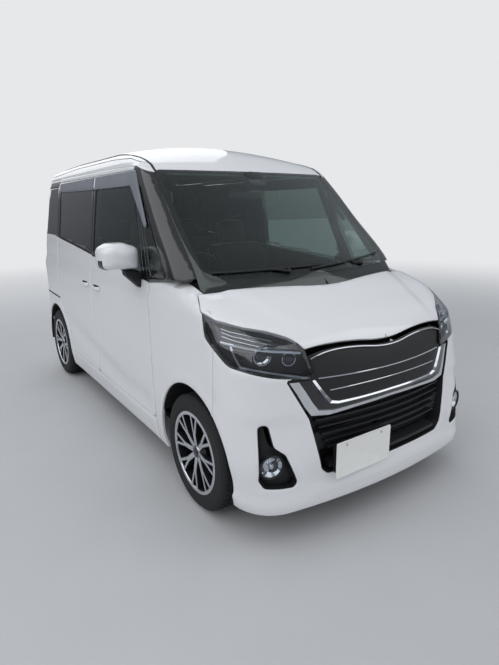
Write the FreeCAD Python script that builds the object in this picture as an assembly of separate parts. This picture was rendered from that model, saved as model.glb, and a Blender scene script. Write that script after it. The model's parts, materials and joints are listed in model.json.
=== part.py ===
"""A tall five-door kei-class wagon, built as an assembly of its real pieces.

Frame: +X forward, +Y to the car's left, +Z up, origin on the ground under the middle of the car.
Units are millimetres. The driver sits on the right, at -Y.
"""
import FreeCAD, Part
import math
import os

os.makedirs("parts", exist_ok=True)
V = FreeCAD.Vector

# Overall sizes and the places that everything else hangs from
LENGTH = 3391.0
HALF_WIDTH = 737.5
WHEELBASE = 2430.0
FRONT_OVERHANG = 558.0
ROOF_HEIGHT = 1775.0
NOSE_X = LENGTH / 2
TAIL_X = -LENGTH / 2
FRONT_AXLE_X = NOSE_X - FRONT_OVERHANG
REAR_AXLE_X = FRONT_AXLE_X - WHEELBASE

# Tyres and wheels, 165/55R15
TYRE_RADIUS = 281.0
TYRE_WIDTH = 165.0
TRACK_HALF = 650.0
RIM_RADIUS = 200.0
RIM_LIP = 9.0
RIM_WALL = 6.0
TYRE_SEAT_RADIUS = 188.0
SPOKE_COUNT = 8
SPOKE_PHASE = 2.0
HUB_STUB_RADIUS = 28.0
HUB_BORE_CLEARANCE = 0.3
DISC_RADIUS = 118.0
WHEEL_Z = TYRE_RADIUS

# Walls and gaps
DOOR_WALL = 60.0
SKIN = 4.0
BONNET_WALL = 22.0
GLASS_THICK = 10.0
DOOR_GAP = 6.0
ROOF_GAP = 10.0
SEAM = 0.4
SEAT_CLEARANCE = 0.3
TRIM_DROP = 28.0

# Places well outside the car, used to carry an outline right through a panel
OUTER_Y = 800.0
SIDE_OUT = -900.0
SIDE_IN = -380.0
LOW_Z = 100.0
HIGH_Z = 1900.0
FRONT_PANEL_X = 380.0

# Doors and seams along the side
DOOR_FRONT_X = FRONT_AXLE_X - 432.0
FRONT_DOOR_LENGTH = 950.0
SLIDE_DOOR_LENGTH = 885.0
DOOR_SPLIT_X = DOOR_FRONT_X - FRONT_DOOR_LENGTH
SLIDE_REAR_X = DOOR_SPLIT_X - SLIDE_DOOR_LENGTH
FENDER_SEAM_X = FRONT_AXLE_X + 212.0
ARCH_RADIUS = 336.0
ARCH_TOP_Z = TYRE_RADIUS + ARCH_RADIUS
FRAME = 42.0
PILLAR_TOP_X = 430.0
SKIRT_TOP_Z = 298.0
SILL_Z = 165.0
GUTTER_Z = 1622.0
DOOR_TOP_Z = 1596.0
WINDOW_TOP_Z = 1560.0
BELT_FRONT_Z = 1040.0
BELT_REAR_Z = 1195.0

# Screens, as half widths and heights
SCREEN_BASE_Z = 1020.0
SCREEN_BASE_HALF = 634.0
SCREEN_TOP_HALF = 592.0
SCREEN_TOP_Z = 1592.0
TAILGATE_HALF = 590.0
TAILGATE_BOTTOM_Z = 560.0
TAILGATE_WAIST_Z = 1150.0
TAILGATE_SHOULDER_Z = 1600.0
TAILGATE_TOP_Z = 1665.0
TAILGATE_TAPER = 40.0
TAIL_WINDOW_Z = (1130.0, 1560.0)

# Nose skin: plan outlines from the sill up to the bonnet's rear edge.
# z, setback of the tip, plan radius of the nose, tuck at the corner, corner radius, tuck at the doors
NOSE_ROWS = (
    (165.0, 9.0, 3200.0, 30.0, 185.0, 27.0),
    (262.0, 2.0, 3000.0, 9.5, 200.0, 12.5),
    (420.0, 9.0, 2500.0, 2.5, 210.0, 5.7),
    (560.0, 18.0, 2100.0, 0.5, 220.0, 3.6),
    (700.0, 31.0, 1850.0, 1.0, 240.0, 2.1),
    (838.0, 63.0, 1850.0, 2.5, 268.0, 0.9),
    (940.0, 130.0, 1850.0, 8.0, 310.0, 0.0),
    (1042.0, 240.0, 1850.0, 30.0, 330.0, 13.6),
    (1130.0, 330.0, 1850.0, 52.0, 340.0, 25.3),
)
# Bonnet top: x behind the tip, height in the middle, fall at the crown's half width
BONNET_ROWS = (
    (-20.0, 770.0, 60.0),
    (62.0, 842.0, 40.0),
    (98.0, 874.0, 24.0),
    (170.0, 917.0, 20.0),
    (296.0, 968.0, 22.0),
    (474.0, 1038.0, 26.0),
    (720.0, 1108.0, 34.0),
    (1000.0, 1160.0, 40.0),
)
CROWN_HALF = 600.0
# Cabin skin: plan outlines from the sill to the roof.
# z, x of the front end, its plan radius, tuck of the side, front corner radius, tail setback
CABIN_ROWS = (
    (165.0, 1281.0, 1450.0, 27.0, 110.0, 22.0),
    (312.0, 1281.0, 1450.0, 7.0, 110.0, 3.8),
    (600.0, 1281.0, 1450.0, 3.0, 110.0, 2.0),
    (940.0, 1281.0, 1450.0, 0.0, 110.0, 16.0),
    (1060.0, 1211.0, 1480.0, 16.0, 105.0, 26.0),
    (1330.0, 892.0, 1950.0, 52.0, 95.0, 58.0),
    (1600.0, 576.0, 2950.0, 96.0, 85.0, 104.0),
    (1680.0, 482.0, 3100.0, 132.0, 80.0, 124.0),
    (1725.0, 430.0, 3200.0, 182.0, 75.0, 150.0),
    (1800.0, 340.0, 3200.0, 330.0, 70.0, 200.0),
)
TAIL_PLAN_RADIUS = 4200.0
TAIL_CORNER_RADIUS = 115.0
# Roof crown: x, fall of the middle below the roof's height, fall at the crown's half width
ROOF_ROWS = (
    (1340.0, 560.0, 30.0),
    (760.0, 255.0, 30.0),
    (562.0, 166.0, 24.0),
    (380.0, 78.0, 44.0),
    (180.0, 26.0, 62.0),
    (-20.0, 2.0, 70.0),
    (-700.0, 2.0, 72.0),
    (-1250.0, 18.0, 72.0),
    (-1700.0, 46.0, 70.0),
)


def polygon(points, place):
    """A closed wire of lines and arcs from (a, b, corner radius) points; place maps a, b to space."""
    count = len(points)
    edges = []
    ends = []
    for i, (a, b, radius) in enumerate(points):
        pa, pb, _ = points[i - 1]
        na, nb, _ = points[(i + 1) % count]
        if radius <= 0:
            ends.append(((a, b), None, (a, b)))
            continue
        ux, uy = pa - a, pb - b
        wx, wy = na - a, nb - b
        lu, lw = math.hypot(ux, uy), math.hypot(wx, wy)
        ux, uy, wx, wy = ux / lu, uy / lu, wx / lw, wy / lw
        half = math.acos(max(-1.0, min(1.0, ux * wx + uy * wy))) / 2
        reach = min(radius / math.tan(half), 0.49 * lu, 0.49 * lw)
        bend = reach * math.tan(half)
        mx, my = ux + wx, uy + wy
        lm = math.hypot(mx, my)
        middle = reach / math.cos(half) - bend
        ends.append((
            (a + ux * reach, b + uy * reach),
            (a + mx / lm * middle, b + my / lm * middle),
            (a + wx * reach, b + wy * reach),
        ))
    for i, (start, middle, end) in enumerate(ends):
        if middle is not None:
            edges.append(Part.Arc(place(*start), place(*middle), place(*end)).toShape())
        following = ends[(i + 1) % count][0]
        if math.dist(end, following) > 1e-6:
            edges.append(Part.LineSegment(place(*end), place(*following)).toShape())
    return Part.Wire(edges)


def prism_y(points, low, high):
    """A side outline of (x, z, radius) points carried from y low to y high."""
    face = Part.Face(polygon(points, lambda a, b: V(a, low, b)))
    return face.extrude(V(0, high - low, 0))


def prism_x(points, low, high):
    """A front outline of (y, z, radius) points carried from x low to x high."""
    face = Part.Face(polygon(points, lambda a, b: V(low, a, b)))
    return face.extrude(V(high - low, 0, 0))


def prism_z(points, low, high):
    """A plan outline of (x, y, radius) points carried from z low to z high."""
    face = Part.Face(polygon(points, lambda a, b: V(a, b, low)))
    return face.extrude(V(0, 0, high - low))


def box(x0, x1, y0, y1, z0, z1):
    """A box between two corners."""
    return Part.makeBox(x1 - x0, y1 - y0, z1 - z0, V(x0, y0, z0))


def rod(start, end, radius):
    """A round bar between two points."""
    a, b = V(*start), V(*end)
    return Part.makeCylinder(radius, (b - a).Length, a, b - a)


def fuse(shapes):
    """One shape from several."""
    out = shapes[0]
    for shape in shapes[1:]:
        out = out.fuse(shape)
    return out


def cut(shape, tools):
    """A shape less several others."""
    for tool in tools:
        shape = shape.cut(tool)
    return shape


def mirror(shape):
    """The same piece on the car's other side."""
    return shape.mirror(V(0, 0, 0), V(0, 1, 0))


def corner_centre(tip, plan_radius, half, corner):
    """Where a corner arc's centre lies, tangent inside the end arc and the side line."""
    reach = math.sqrt((plan_radius - corner) ** 2 - (half - corner) ** 2)
    return tip - plan_radius + reach


def plan_wire(z, front, front_radius, half, corner, rear, rear_radius, rear_half, rear_corner):
    """A closed plan outline: an end arc, corner arcs and sides at the front and the rear."""
    edges = []
    fx = corner_centre(front, front_radius, half, corner)
    rx = -corner_centre(-rear, rear_radius, rear_half, rear_corner)
    marks = []
    for sign, tip, radius, side, cx, rc in (
        (1, front, front_radius, half, fx, corner), (-1, rear, rear_radius, rear_half, rx, rear_corner),
    ):
        centre_x = tip - sign * radius
        angle = math.atan2(side - rc, sign * (cx - centre_x))
        on_end = (centre_x + sign * radius * math.cos(angle), radius * math.sin(angle))
        mid = (angle + math.pi / 2) / 2
        on_mid = (cx + sign * rc * math.cos(mid), side - rc + rc * math.sin(mid))
        marks.append((tip, on_end, on_mid, (cx, side)))
    (f_tip, f_end, f_mid, f_side), (r_tip, r_end, r_mid, r_side) = marks

    def at(point, side):
        return V(point[0], side * point[1], z)

    edges.append(Part.Arc(at(f_end, -1), V(f_tip, 0, z), at(f_end, 1)).toShape())
    edges.append(Part.Arc(at(f_end, 1), at(f_mid, 1), at(f_side, 1)).toShape())
    edges.append(Part.LineSegment(at(f_side, 1), at(r_side, 1)).toShape())
    edges.append(Part.Arc(at(r_side, 1), at(r_mid, 1), at(r_end, 1)).toShape())
    edges.append(Part.Arc(at(r_end, 1), V(r_tip, 0, z), at(r_end, -1)).toShape())
    edges.append(Part.Arc(at(r_end, -1), at(r_mid, -1), at(r_side, -1)).toShape())
    edges.append(Part.LineSegment(at(r_side, -1), at(f_side, -1)).toShape())
    edges.append(Part.Arc(at(f_side, -1), at(f_mid, -1), at(f_end, -1)).toShape())
    return Part.Wire(edges)


def crown_loft(rows, drop):
    """A solid under a crowned top, from rows of x, middle height and fall, lowered by drop."""
    wires = []
    for x, middle, fall in rows:
        top = middle - drop
        low = top - fall * (OUTER_Y / CROWN_HALF) ** 2
        arc = Part.Arc(V(x, -OUTER_Y, low), V(x, 0, top), V(x, OUTER_Y, low)).toShape()
        right = Part.LineSegment(V(x, OUTER_Y, low), V(x, OUTER_Y, LOW_Z)).toShape()
        base = Part.LineSegment(V(x, OUTER_Y, LOW_Z), V(x, -OUTER_Y, LOW_Z)).toShape()
        left = Part.LineSegment(V(x, -OUTER_Y, LOW_Z), V(x, -OUTER_Y, low)).toShape()
        wires.append(Part.Wire([arc, right, base, left]))
    return Part.makeLoft(wires, True, True)


def nose_solid(inset, drop):
    """The nose forward of the front doors, its skin pulled in by inset and its top lowered by drop."""
    wires = []
    for z, setback, plan_radius, tuck, corner, door_tuck in NOSE_ROWS:
        wires.append(plan_wire(
            z, NOSE_X - setback - inset, plan_radius - inset, HALF_WIDTH - tuck - inset, corner - inset,
            DOOR_FRONT_X - 120, 30000.0, HALF_WIDTH - door_tuck - inset, 30.0,
        ))
    walls = Part.makeLoft(wires, True, True)
    rows = [(NOSE_X - back, middle, fall) for back, middle, fall in BONNET_ROWS]
    top = crown_loft(rows, drop)
    return walls.common(top).common(box(DOOR_FRONT_X, NOSE_X + 50, -OUTER_Y, OUTER_Y, LOW_Z, HIGH_Z))


def cabin_solid(inset, drop):
    """The cabin from the tail to the windscreen, its skin pulled in by inset and its roof lowered by drop."""
    wires = []
    for z, front, plan_radius, tuck, corner, setback in CABIN_ROWS:
        wires.append(plan_wire(
            z, front - inset, plan_radius - inset, HALF_WIDTH - tuck - inset, max(corner - inset, 12.0),
            TAIL_X + setback + inset, TAIL_PLAN_RADIUS - inset, HALF_WIDTH - tuck - inset,
            TAIL_CORNER_RADIUS - inset,
        ))
    walls = Part.makeLoft(wires, True, True)
    rows = [(x, ROOF_HEIGHT - fall, crown) for x, fall, crown in ROOF_ROWS]
    return walls.common(crown_loft(rows[::-1], drop))


NOSE = nose_solid(0, 0)
NOSE_SHELL = NOSE.cut(nose_solid(SKIN, BONNET_WALL))
CABIN = cabin_solid(0, 0)
CABIN_INNER = cabin_solid(DOOR_WALL, TRIM_DROP)
CABIN_SHELL = CABIN.cut(CABIN_INNER)
CABIN_SKIN = CABIN.cut(cabin_solid(GLASS_THICK, GLASS_THICK))

# Outlines shared by a panel and the opening it fills. Side outlines are (x, z, radius).
ARCH_FRONT = Part.makeCylinder(ARCH_RADIUS, 500, V(FRONT_AXLE_X, -HALF_WIDTH - 60, WHEEL_Z), V(0, 1, 0))
ARCH_REAR = Part.makeCylinder(ARCH_RADIUS, 500, V(REAR_AXLE_X, -HALF_WIDTH - 60, WHEEL_Z), V(0, 1, 0))


def belt_z(x):
    """Height of the windows' lower edge at x."""
    share = (DOOR_FRONT_X - x) / (DOOR_FRONT_X - REAR_AXLE_X)
    return BELT_FRONT_Z + (BELT_REAR_Z - BELT_FRONT_Z) * share


def front_door_points(gap):
    """The front door's outline, pulled in by gap."""
    return (
        (DOOR_FRONT_X - gap, SKIRT_TOP_Z + gap, 40),
        (DOOR_FRONT_X - gap, BELT_FRONT_Z - 5, 30),
        (PILLAR_TOP_X - gap * 1.2, DOOR_TOP_Z - gap, 60),
        (DOOR_SPLIT_X + gap, DOOR_TOP_Z - gap, 25),
        (DOOR_SPLIT_X + gap, SKIRT_TOP_Z + gap, 40),
    )


def slide_door_points(gap):
    """The sliding door's outline, which steps round the rear arch."""
    return (
        (DOOR_SPLIT_X - gap, SKIRT_TOP_Z + gap, 40),
        (DOOR_SPLIT_X - gap, DOOR_TOP_Z - gap, 25),
        (SLIDE_REAR_X + gap, DOOR_TOP_Z - gap, 40),
        (SLIDE_REAR_X + gap, ARCH_TOP_Z + 60, 60),
        (REAR_AXLE_X + ARCH_RADIUS + 22 + gap, 480, 90),
        (REAR_AXLE_X + ARCH_RADIUS + 30 + gap, SKIRT_TOP_Z + gap, 20),
    )


def front_window_points(gap):
    """The front door's window."""
    return (
        (DOOR_FRONT_X - 60 - gap, belt_z(DOOR_FRONT_X - 60) + gap, 20),
        (PILLAR_TOP_X - 10 - gap, WINDOW_TOP_Z - gap, 30),
        (DOOR_SPLIT_X + FRAME + gap, WINDOW_TOP_Z - gap, 20),
        (DOOR_SPLIT_X + FRAME + gap, belt_z(DOOR_SPLIT_X + FRAME) + gap, 20),
    )


def slide_window_points(gap):
    """The sliding door's window."""
    return (
        (DOOR_SPLIT_X - FRAME - gap, belt_z(DOOR_SPLIT_X - FRAME) + gap, 20),
        (DOOR_SPLIT_X - FRAME - gap, WINDOW_TOP_Z - gap, 20),
        (SLIDE_REAR_X + FRAME + gap, WINDOW_TOP_Z - gap, 20),
        (SLIDE_REAR_X + FRAME + gap, belt_z(SLIDE_REAR_X + FRAME) + gap, 20),
    )


def rear_window_points(gap):
    """The fixed window behind the sliding door."""
    return (
        (SLIDE_REAR_X - FRAME - gap, belt_z(SLIDE_REAR_X - FRAME) + gap, 20),
        (SLIDE_REAR_X - FRAME - gap, WINDOW_TOP_Z - gap, 20),
        (TAIL_X + 180 + gap, WINDOW_TOP_Z - gap, 40),
        (TAIL_X + 160 + gap, BELT_REAR_Z + gap, 40),
    )


def quarter_window_points(gap):
    """The narrow fixed window between the windscreen pillar and the front door."""
    return (
        (DOOR_FRONT_X + 22 + gap, BELT_FRONT_Z + 22 + gap, 14),
        (DOOR_FRONT_X + 200 - gap * 2, BELT_FRONT_Z + 36 + gap, 14),
        (PILLAR_TOP_X + 112 - gap, WINDOW_TOP_Z - 60 - gap, 14),
        (PILLAR_TOP_X + 62 + gap, WINDOW_TOP_Z - 40 - gap, 14),
    )


def screen_points(gap):
    """The windscreen's outline from the front, as (y, z, radius)."""
    base, top = SCREEN_BASE_HALF - gap, SCREEN_TOP_HALF - gap
    return (
        (-base, SCREEN_BASE_Z + gap, 20),
        (base, SCREEN_BASE_Z + gap, 20),
        (top, SCREEN_TOP_Z - gap, 50),
        (-top, SCREEN_TOP_Z - gap, 50),
    )


def tailgate_points(gap):
    """The tailgate's outline from behind, as (y, z, radius)."""
    low, high = TAILGATE_HALF - gap, TAILGATE_HALF - TAILGATE_TAPER - gap
    return (
        (-low, TAILGATE_BOTTOM_Z + gap, 60),
        (low, TAILGATE_BOTTOM_Z + gap, 60),
        (low, TAILGATE_WAIST_Z, 0),
        (high, TAILGATE_TOP_Z - gap, 70),
        (-high, TAILGATE_TOP_Z - gap, 70),
        (-low, TAILGATE_WAIST_Z, 0),
    )


def tail_window_points(gap):
    """The tailgate's window, as (y, z, radius)."""
    low, high = TAILGATE_HALF - 50 - gap, TAILGATE_HALF - 75 - gap
    return (
        (-low, TAIL_WINDOW_Z[0] + gap, 50),
        (low, TAIL_WINDOW_Z[0] + gap, 50),
        (high, TAIL_WINDOW_Z[1] - gap, 50),
        (-high, TAIL_WINDOW_Z[1] - gap, 50),
    )


# The headlamp's outline, seen square to the corner: distance along the corner and height
LAMP_DIRECTION = (0.8, 0.6)
LAMP_POINTS = (
    (171, 985, 8), (354, 950, 90), (533, 897, 40), (599, 840, 20),
    (646, 716, 20), (495, 738, 80), (290, 780, 60), (187, 872, 40),
)
LAMP_DEPTH = 90.0
LAMP_REACH = 360.0
# Outlines of the nose from the front, right-hand half, as (y, z, radius)
MOUTH_POINTS = (
    (-470, 842, 0), (-470, 742, 0), (-530, 722, 8), (-446, 556, 20), (-396, 330, 30), (-364, 300, 30),
)
CHROME_UPPER = ((-524, 716, 8), (-404, 716, 8), (-322, 600, 16), (0, 606, 900))
CHROME_LOWER = ((-442, 553, 12), (-342, 549, 30), (0, 560, 900))
LOWER_SLOTS = (470.0, 502.0)
SLOT_HEIGHT = 26.0
SLOT_HALF = 340.0
GRILLE_THICK = 26.0
FOG_POINTS = (
    (-652, 549, 16), (-618, 557, 20), (-604, 462, 30), (-560, 426, 30), (-513, 300, 16), (-530, 281, 12),
    (-648, 291, 14), (-666, 325, 20),
)
FOG_LAMP_Y = 620.0
FOG_LAMP_Z = 382.0
FOG_LAMP_RADIUS = 48.0
PLATE_LENGTH = 330.0
PLATE_HEIGHT = 165.0
PLATE_THICK = 2.0
PLATE_STANDOFF = 1.0
REAR_PLATE_SINK = 5.0
PLATE_Y = -186.0
PLATE_Z = 363.5
REAR_PLATE_Z = 800.0
PLATE_HOLE_SPACING = 210.0
PLATE_HOLE_RADIUS = 3.5
PLATE_HOLE_DROP = 20.0
MOUTH_BACK_X = NOSE_X - 260.0
MOUTH_TOP_Z = 842.0
COWL_HALF = 640.0
ANTENNA_X = -725.0
ANTENNA_HALF = 18.0
DASH_HALF = 630.0
DASH_BOTTOM_Z = 700.0
COLUMN_LENGTH = 200.0
COLUMN_RADIUS = 32.0
# The exhaust's run: x, y and z of each bend, then its silencer
EXHAUST_RUN = (
    (FRONT_AXLE_X - 330.0, 120.0, 262.0), (REAR_AXLE_X + 402.0, 120.0, 262.0),
    (REAR_AXLE_X + 232.0, 180.0, 352.0), (REAR_AXLE_X - 60.0, 240.0, 352.0),
    (REAR_AXLE_X - 180.0, 240.0, 340.0),
)
EXHAUST_RADIUS = 24.0
SILENCER_RADIUS = 85.0
SILENCER_Z = 330.0


def lamp_prism(gap):
    """The right headlamp's outline carried inward, square to the nose's corner."""
    dx, dy = LAMP_DIRECTION
    middle_s = sum(p[0] for p in LAMP_POINTS) / len(LAMP_POINTS)
    middle_z = sum(p[1] for p in LAMP_POINTS) / len(LAMP_POINTS)
    points = []
    for s, z, radius in LAMP_POINTS:
        share = 1 - gap / math.hypot(s - middle_s, z - middle_z)
        points.append((middle_s + (s - middle_s) * share, middle_z + (z - middle_z) * share, radius))
    outside = NOSE_X - 56.0

    def place(s, z):
        return V(s * dy + dx * outside, s * dx - dy * outside, z)

    face = Part.Face(polygon(points, place))
    return face.extrude(V(-dx * LAMP_REACH, dy * LAMP_REACH, 0))


BONNET_REAR = 572.0
BONNET_REAR_MIDDLE = 424.0
# The bonnet's right-hand plan outline: distance behind the nose, y and corner radius
BONNET_EDGE = (
    (BONNET_REAR, -668, 10), (466, -716, 60), (374, -696, 60), (282, -624, 80),
    (170, -486, 60), (116, -437, 20),
)


def bonnet_prism(gap):
    """The bonnet's plan outline."""
    right = []
    for back, y, radius in BONNET_EDGE:
        rearward = -gap if back == BONNET_REAR else gap * 0.7
        right.append((NOSE_X - back - rearward, y + gap, radius))
    left = [(x, -y, radius) for x, y, radius in reversed(right)]
    middle_front = [(NOSE_X - 62 - gap, 0, 900)]
    middle_rear = [(NOSE_X - BONNET_REAR_MIDDLE + gap, 0, 700)]
    return prism_z(right + middle_front + left + middle_rear, 760, 1200)


def mirrored(points):
    """A front outline completed with its mirror image."""
    other = [(-y, z, radius) for y, z, radius in reversed(points) if y]
    return list(points) + other


def grown(points, gap):
    """A front outline moved out from its middle by gap."""
    cy = sum(p[0] for p in points) / len(points)
    cz = sum(p[1] for p in points) / len(points)
    out = []
    for y, z, radius in points:
        share = 1 + gap / math.hypot(y - cy, z - cz)
        out.append((cy + (y - cy) * share, cz + (z - cz) * share, radius))
    return out


def crown_height(rows, x, y):
    """The height of a crowned top at x and y."""
    ordered = sorted(rows)
    for (x0, z0, f0), (x1, z1, f1) in zip(ordered, ordered[1:]):
        if x0 <= x <= x1:
            share = (x - x0) / (x1 - x0)
            fall = f0 + (f1 - f0) * share
            return z0 + (z1 - z0) * share - fall * (y / CROWN_HALF) ** 2
    raise ValueError("x is off the crown")


BONNET_TOP = [(NOSE_X - back, middle, fall) for back, middle, fall in BONNET_ROWS]
ROOF_TOP = [(x, ROOF_HEIGHT - fall, crown) for x, fall, crown in ROOF_ROWS]

# Hinges: pins in their lugs, with the running clearance of a loose fit
PIN_RADIUS = 6.0
PIN_CLEARANCE = 0.3
DOOR_HINGE_X = DOOR_FRONT_X - 44.0
DOOR_HINGE_Y = HALF_WIDTH - 20.0
DOOR_HINGE_ZS = (480.0, 840.0)
DOOR_SWEEP = 68.0
POST_DEPTH = 80.0
POST_INNER_Y = 600.0
POST_TOP_Z = BELT_FRONT_Z + 12.0
LUG_HALF = 13.0
EAR = 10.0
TAIL_CUT_X = TAIL_X + 185.0
TAIL_HINGE_X = TAIL_CUT_X + 20.0
TAIL_HINGE_Y = 200.0
TAIL_PIN = 4.0
TAIL_HINGE_Z = crown_height(ROOF_TOP, TAIL_HINGE_X, TAIL_HINGE_Y) - 9.0
BONNET_HINGE_X = NOSE_X - 558.0
BONNET_PIN = 5.0
BONNET_HINGE_Z = crown_height(BONNET_TOP, BONNET_HINGE_X, 650.0) - 8.0
BONNET_PIN_TIP = 624.0
BONNET_PIN_ROOT = 690.0
BONNET_SWEEP = 22.0
COWL_SWEEP = 18.0
BONNET_SWEEP_Y = 673.0
MIRROR_PIVOT_X = 580.0
MIRROR_PIVOT_Y = -776.0
MIRROR_BASE_Z = 1092.0
MIRROR_ROOT_Z = 980.0
MIRROR_TOP_Z = 1236.0
MIRROR_PIN_RADIUS = 8.0
MIRROR_PIN_RISE = 30.0

# The steering: strut and ball joint of each front corner
BALL_Y = 625.0
BALL_Z = 196.0
BALL_RADIUS = 16.0
ARM_TOP_Z = BALL_Z - BALL_RADIUS - SEAT_CLEARANCE
STRUT_TOP_Y = 515.0
STRUT_TOP_Z = 800.0
STRUT_RADIUS = 24.0
CUP_HEIGHT = 60.0
CUP_RADIUS = 34.0
STRUT_OFFSET = 30.0
STEERING_WHEEL_X = 455.0
STEERING_WHEEL_Z = 985.0
STEERING_RAKE = 25.0
STEERING_WHEEL_RADIUS = 185.0
STEERING_GRIP_RADIUS = 14.0
STEERING_HUB_HALF = 20.0
DRIVER_Y = -340.0

# Structure below and behind the skin
FLOOR_Z = 330.0
FLOOR_THICK = 30.0
FLOOR_REAR_Z = 450.0
FLOOR_STEP_X = REAR_AXLE_X + 470.0
FIREWALL_X = FRONT_AXLE_X - 320.0
FIREWALL_TOP = 985.0
RAIL_Y = 345.0
RAIL_HALF = 30.0
RAIL_Z = 400.0
RAIL_TOP = 470.0
LINER = 4.0
WELL_INNER_Y = 540.0
REAR_BUMPER_TOP = TAILGATE_BOTTOM_Z - DOOR_GAP
FENDER_TOP_FRONT = (NOSE_X - 600.0, 1086.0)
FENDER_TOP_REAR = (DOOR_FRONT_X, 1034.0)
TAIL_LAMP_Z = (860.0, 1180.0)

# Anything smaller than this many cubic mm is an offcut
SLIVER = 200.0

nodes = {}


def keep(name, shape):
    """Write one node's shape to its file."""
    solids = [solid for solid in shape.Solids if solid.Volume > SLIVER]
    if not solids:
        raise ValueError(name + " has no solid")
    out = solids[0] if len(solids) == 1 else Part.makeCompound(solids)
    out.exportStep("parts/" + name + ".step")
    nodes[name] = out
    volume = round(out.Volume / 1e3)
    print(name, "solids", len(solids), "faces", len(out.Faces), "valid", out.isValid(), "cm3", volume)


def pair(name, right):
    """Write a right-hand piece and its mirror image."""
    keep(name + "_right", right)
    keep(name + "_left", mirror(right))


def both(shape):
    """A piece and its mirror image as one shape of separate solids."""
    return Part.makeCompound(shape.Solids + mirror(shape).Solids)


INNER_TRIM = cabin_solid(DOOR_WALL + SEAT_CLEARANCE, TRIM_DROP + 2)


def roof_prism(gap):
    """The region above the gutter and behind the windscreen."""
    return prism_y((
        (TAIL_X - 60, GUTTER_Z + gap, 0), (0, GUTTER_Z + gap, 300), (PILLAR_TOP_X, GUTTER_Z - 8 + gap, 100),
        (660, SCREEN_TOP_Z - 52 + gap, 0), (660, HIGH_Z, 0), (TAIL_X - 60, HIGH_Z, 0),
    ), -OUTER_Y, OUTER_Y)


def above_fender(gap):
    """The region above the fender's top edge, beside and behind the windscreen's foot."""
    (x0, z0), (x1, z1) = FENDER_TOP_REAR, FENDER_TOP_FRONT
    return prism_y((
        (x0 - 20, z0 + gap, 0), (x0, z0 + gap, 0), (x1, z1 + gap, 0), (x1 + 90, z1 - 40 + gap, 0),
        (x1 + 90, HIGH_Z, 0), (x0 - 20, HIGH_Z, 0),
    ), SIDE_OUT, -SIDE_OUT)


def tail_lamp_prism(gap):
    """The right tail lamp's outline from behind."""
    inner = -TAILGATE_HALF - DOOR_GAP - gap
    low, high = TAIL_LAMP_Z
    return prism_x((
        (-760, low + gap, 0), (inner, low + gap, 20), (inner, high - gap, 20), (-760, high - gap, 0),
    ), TAIL_X - 60, TAIL_X + 150 - gap)


def rear_bumper_prism(gap):
    """The rear bumper's outline from the side."""
    front = REAR_AXLE_X - ARCH_RADIUS + 40 - gap
    return prism_y((
        (TAIL_X - 60, LOW_Z, 0), (TAIL_X - 60, REAR_BUMPER_TOP - gap, 0),
        (REAR_AXLE_X - 250 - gap, REAR_BUMPER_TOP + 24 - gap, 0), (front, 460, 0), (front, LOW_Z, 0),
    ), -OUTER_Y, OUTER_Y)


def tailgate_region(gap):
    """The tailgate's space: its outline from behind, joined to its top edge on the roof."""
    face = prism_x(tailgate_points(gap), TAIL_X - 60, TAIL_X + 210)
    half = TAILGATE_HALF - TAILGATE_TAPER - 2 - gap
    top = box(TAIL_X - 60, TAIL_CUT_X - gap, -half, half, TAILGATE_SHOULDER_Z, HIGH_Z)
    behind = box(TAIL_X - 60, TAIL_CUT_X - gap, -OUTER_Y, OUTER_Y, TAILGATE_SHOULDER_Z, HIGH_Z)
    below = box(TAIL_X - 60, TAIL_X + 210, -OUTER_Y, OUTER_Y, LOW_Z, TAILGATE_SHOULDER_Z)
    return face.common(below).fuse(top.fuse(face.common(behind)))


def hinge_pillar():
    """The post ahead of the right front door, inside the fender, which carries the door's hinges."""
    post = box(DOOR_FRONT_X - 0.5, DOOR_FRONT_X + POST_DEPTH, -OUTER_Y, -POST_INNER_Y, SILL_Z, POST_TOP_Z)
    inside = nose_solid(SKIN + SEAT_CLEARANCE, BONNET_WALL + SEAT_CLEARANCE)
    outer = cut(post.common(inside), [nose_solid(DOOR_WALL, DOOR_WALL), CABIN_INNER])
    return outer.common(prism_y((
        (DOOR_FRONT_X - 2, SILL_Z, 0), (DOOR_FRONT_X + POST_DEPTH - 20, SILL_Z, 0),
        (DOOR_FRONT_X + POST_DEPTH + 2, SKIRT_TOP_Z, 40),
        (DOOR_FRONT_X + POST_DEPTH + 2, POST_TOP_Z, 0), (DOOR_FRONT_X - 2, POST_TOP_Z, 0),
    ), -OUTER_Y, -POST_INNER_Y))


def door_hinge_ears():
    """The body side's half of both hinges of the right front door."""
    pieces = []
    reach = PIN_RADIUS + 5
    y = -DOOR_HINGE_Y
    for z in DOOR_HINGE_ZS:
        foot = (DOOR_HINGE_X, -DOOR_HINGE_Y, z - LUG_HALF - EAR)
        pieces.append(rod(foot, (DOOR_HINGE_X, -DOOR_HINGE_Y, z + LUG_HALF + EAR), PIN_RADIUS))
        for low in (z - LUG_HALF - EAR, z + LUG_HALF + SEAT_CLEARANCE):
            high = low + EAR - SEAT_CLEARANCE
            ear = box(DOOR_HINGE_X - reach, DOOR_HINGE_X + 8, y, y + 58, low, high)
            pieces.append(ear)
        root_low, root_high = z - LUG_HALF - EAR, z + LUG_HALF + EAR
        pieces.append(box(DOOR_HINGE_X - reach, DOOR_FRONT_X + 60, y + 44, y + 58, root_low, root_high))
        pieces.append(box(DOOR_FRONT_X + 12, DOOR_FRONT_X + 60, y + 25, y + 58, root_low, root_high))
    return pieces


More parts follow.
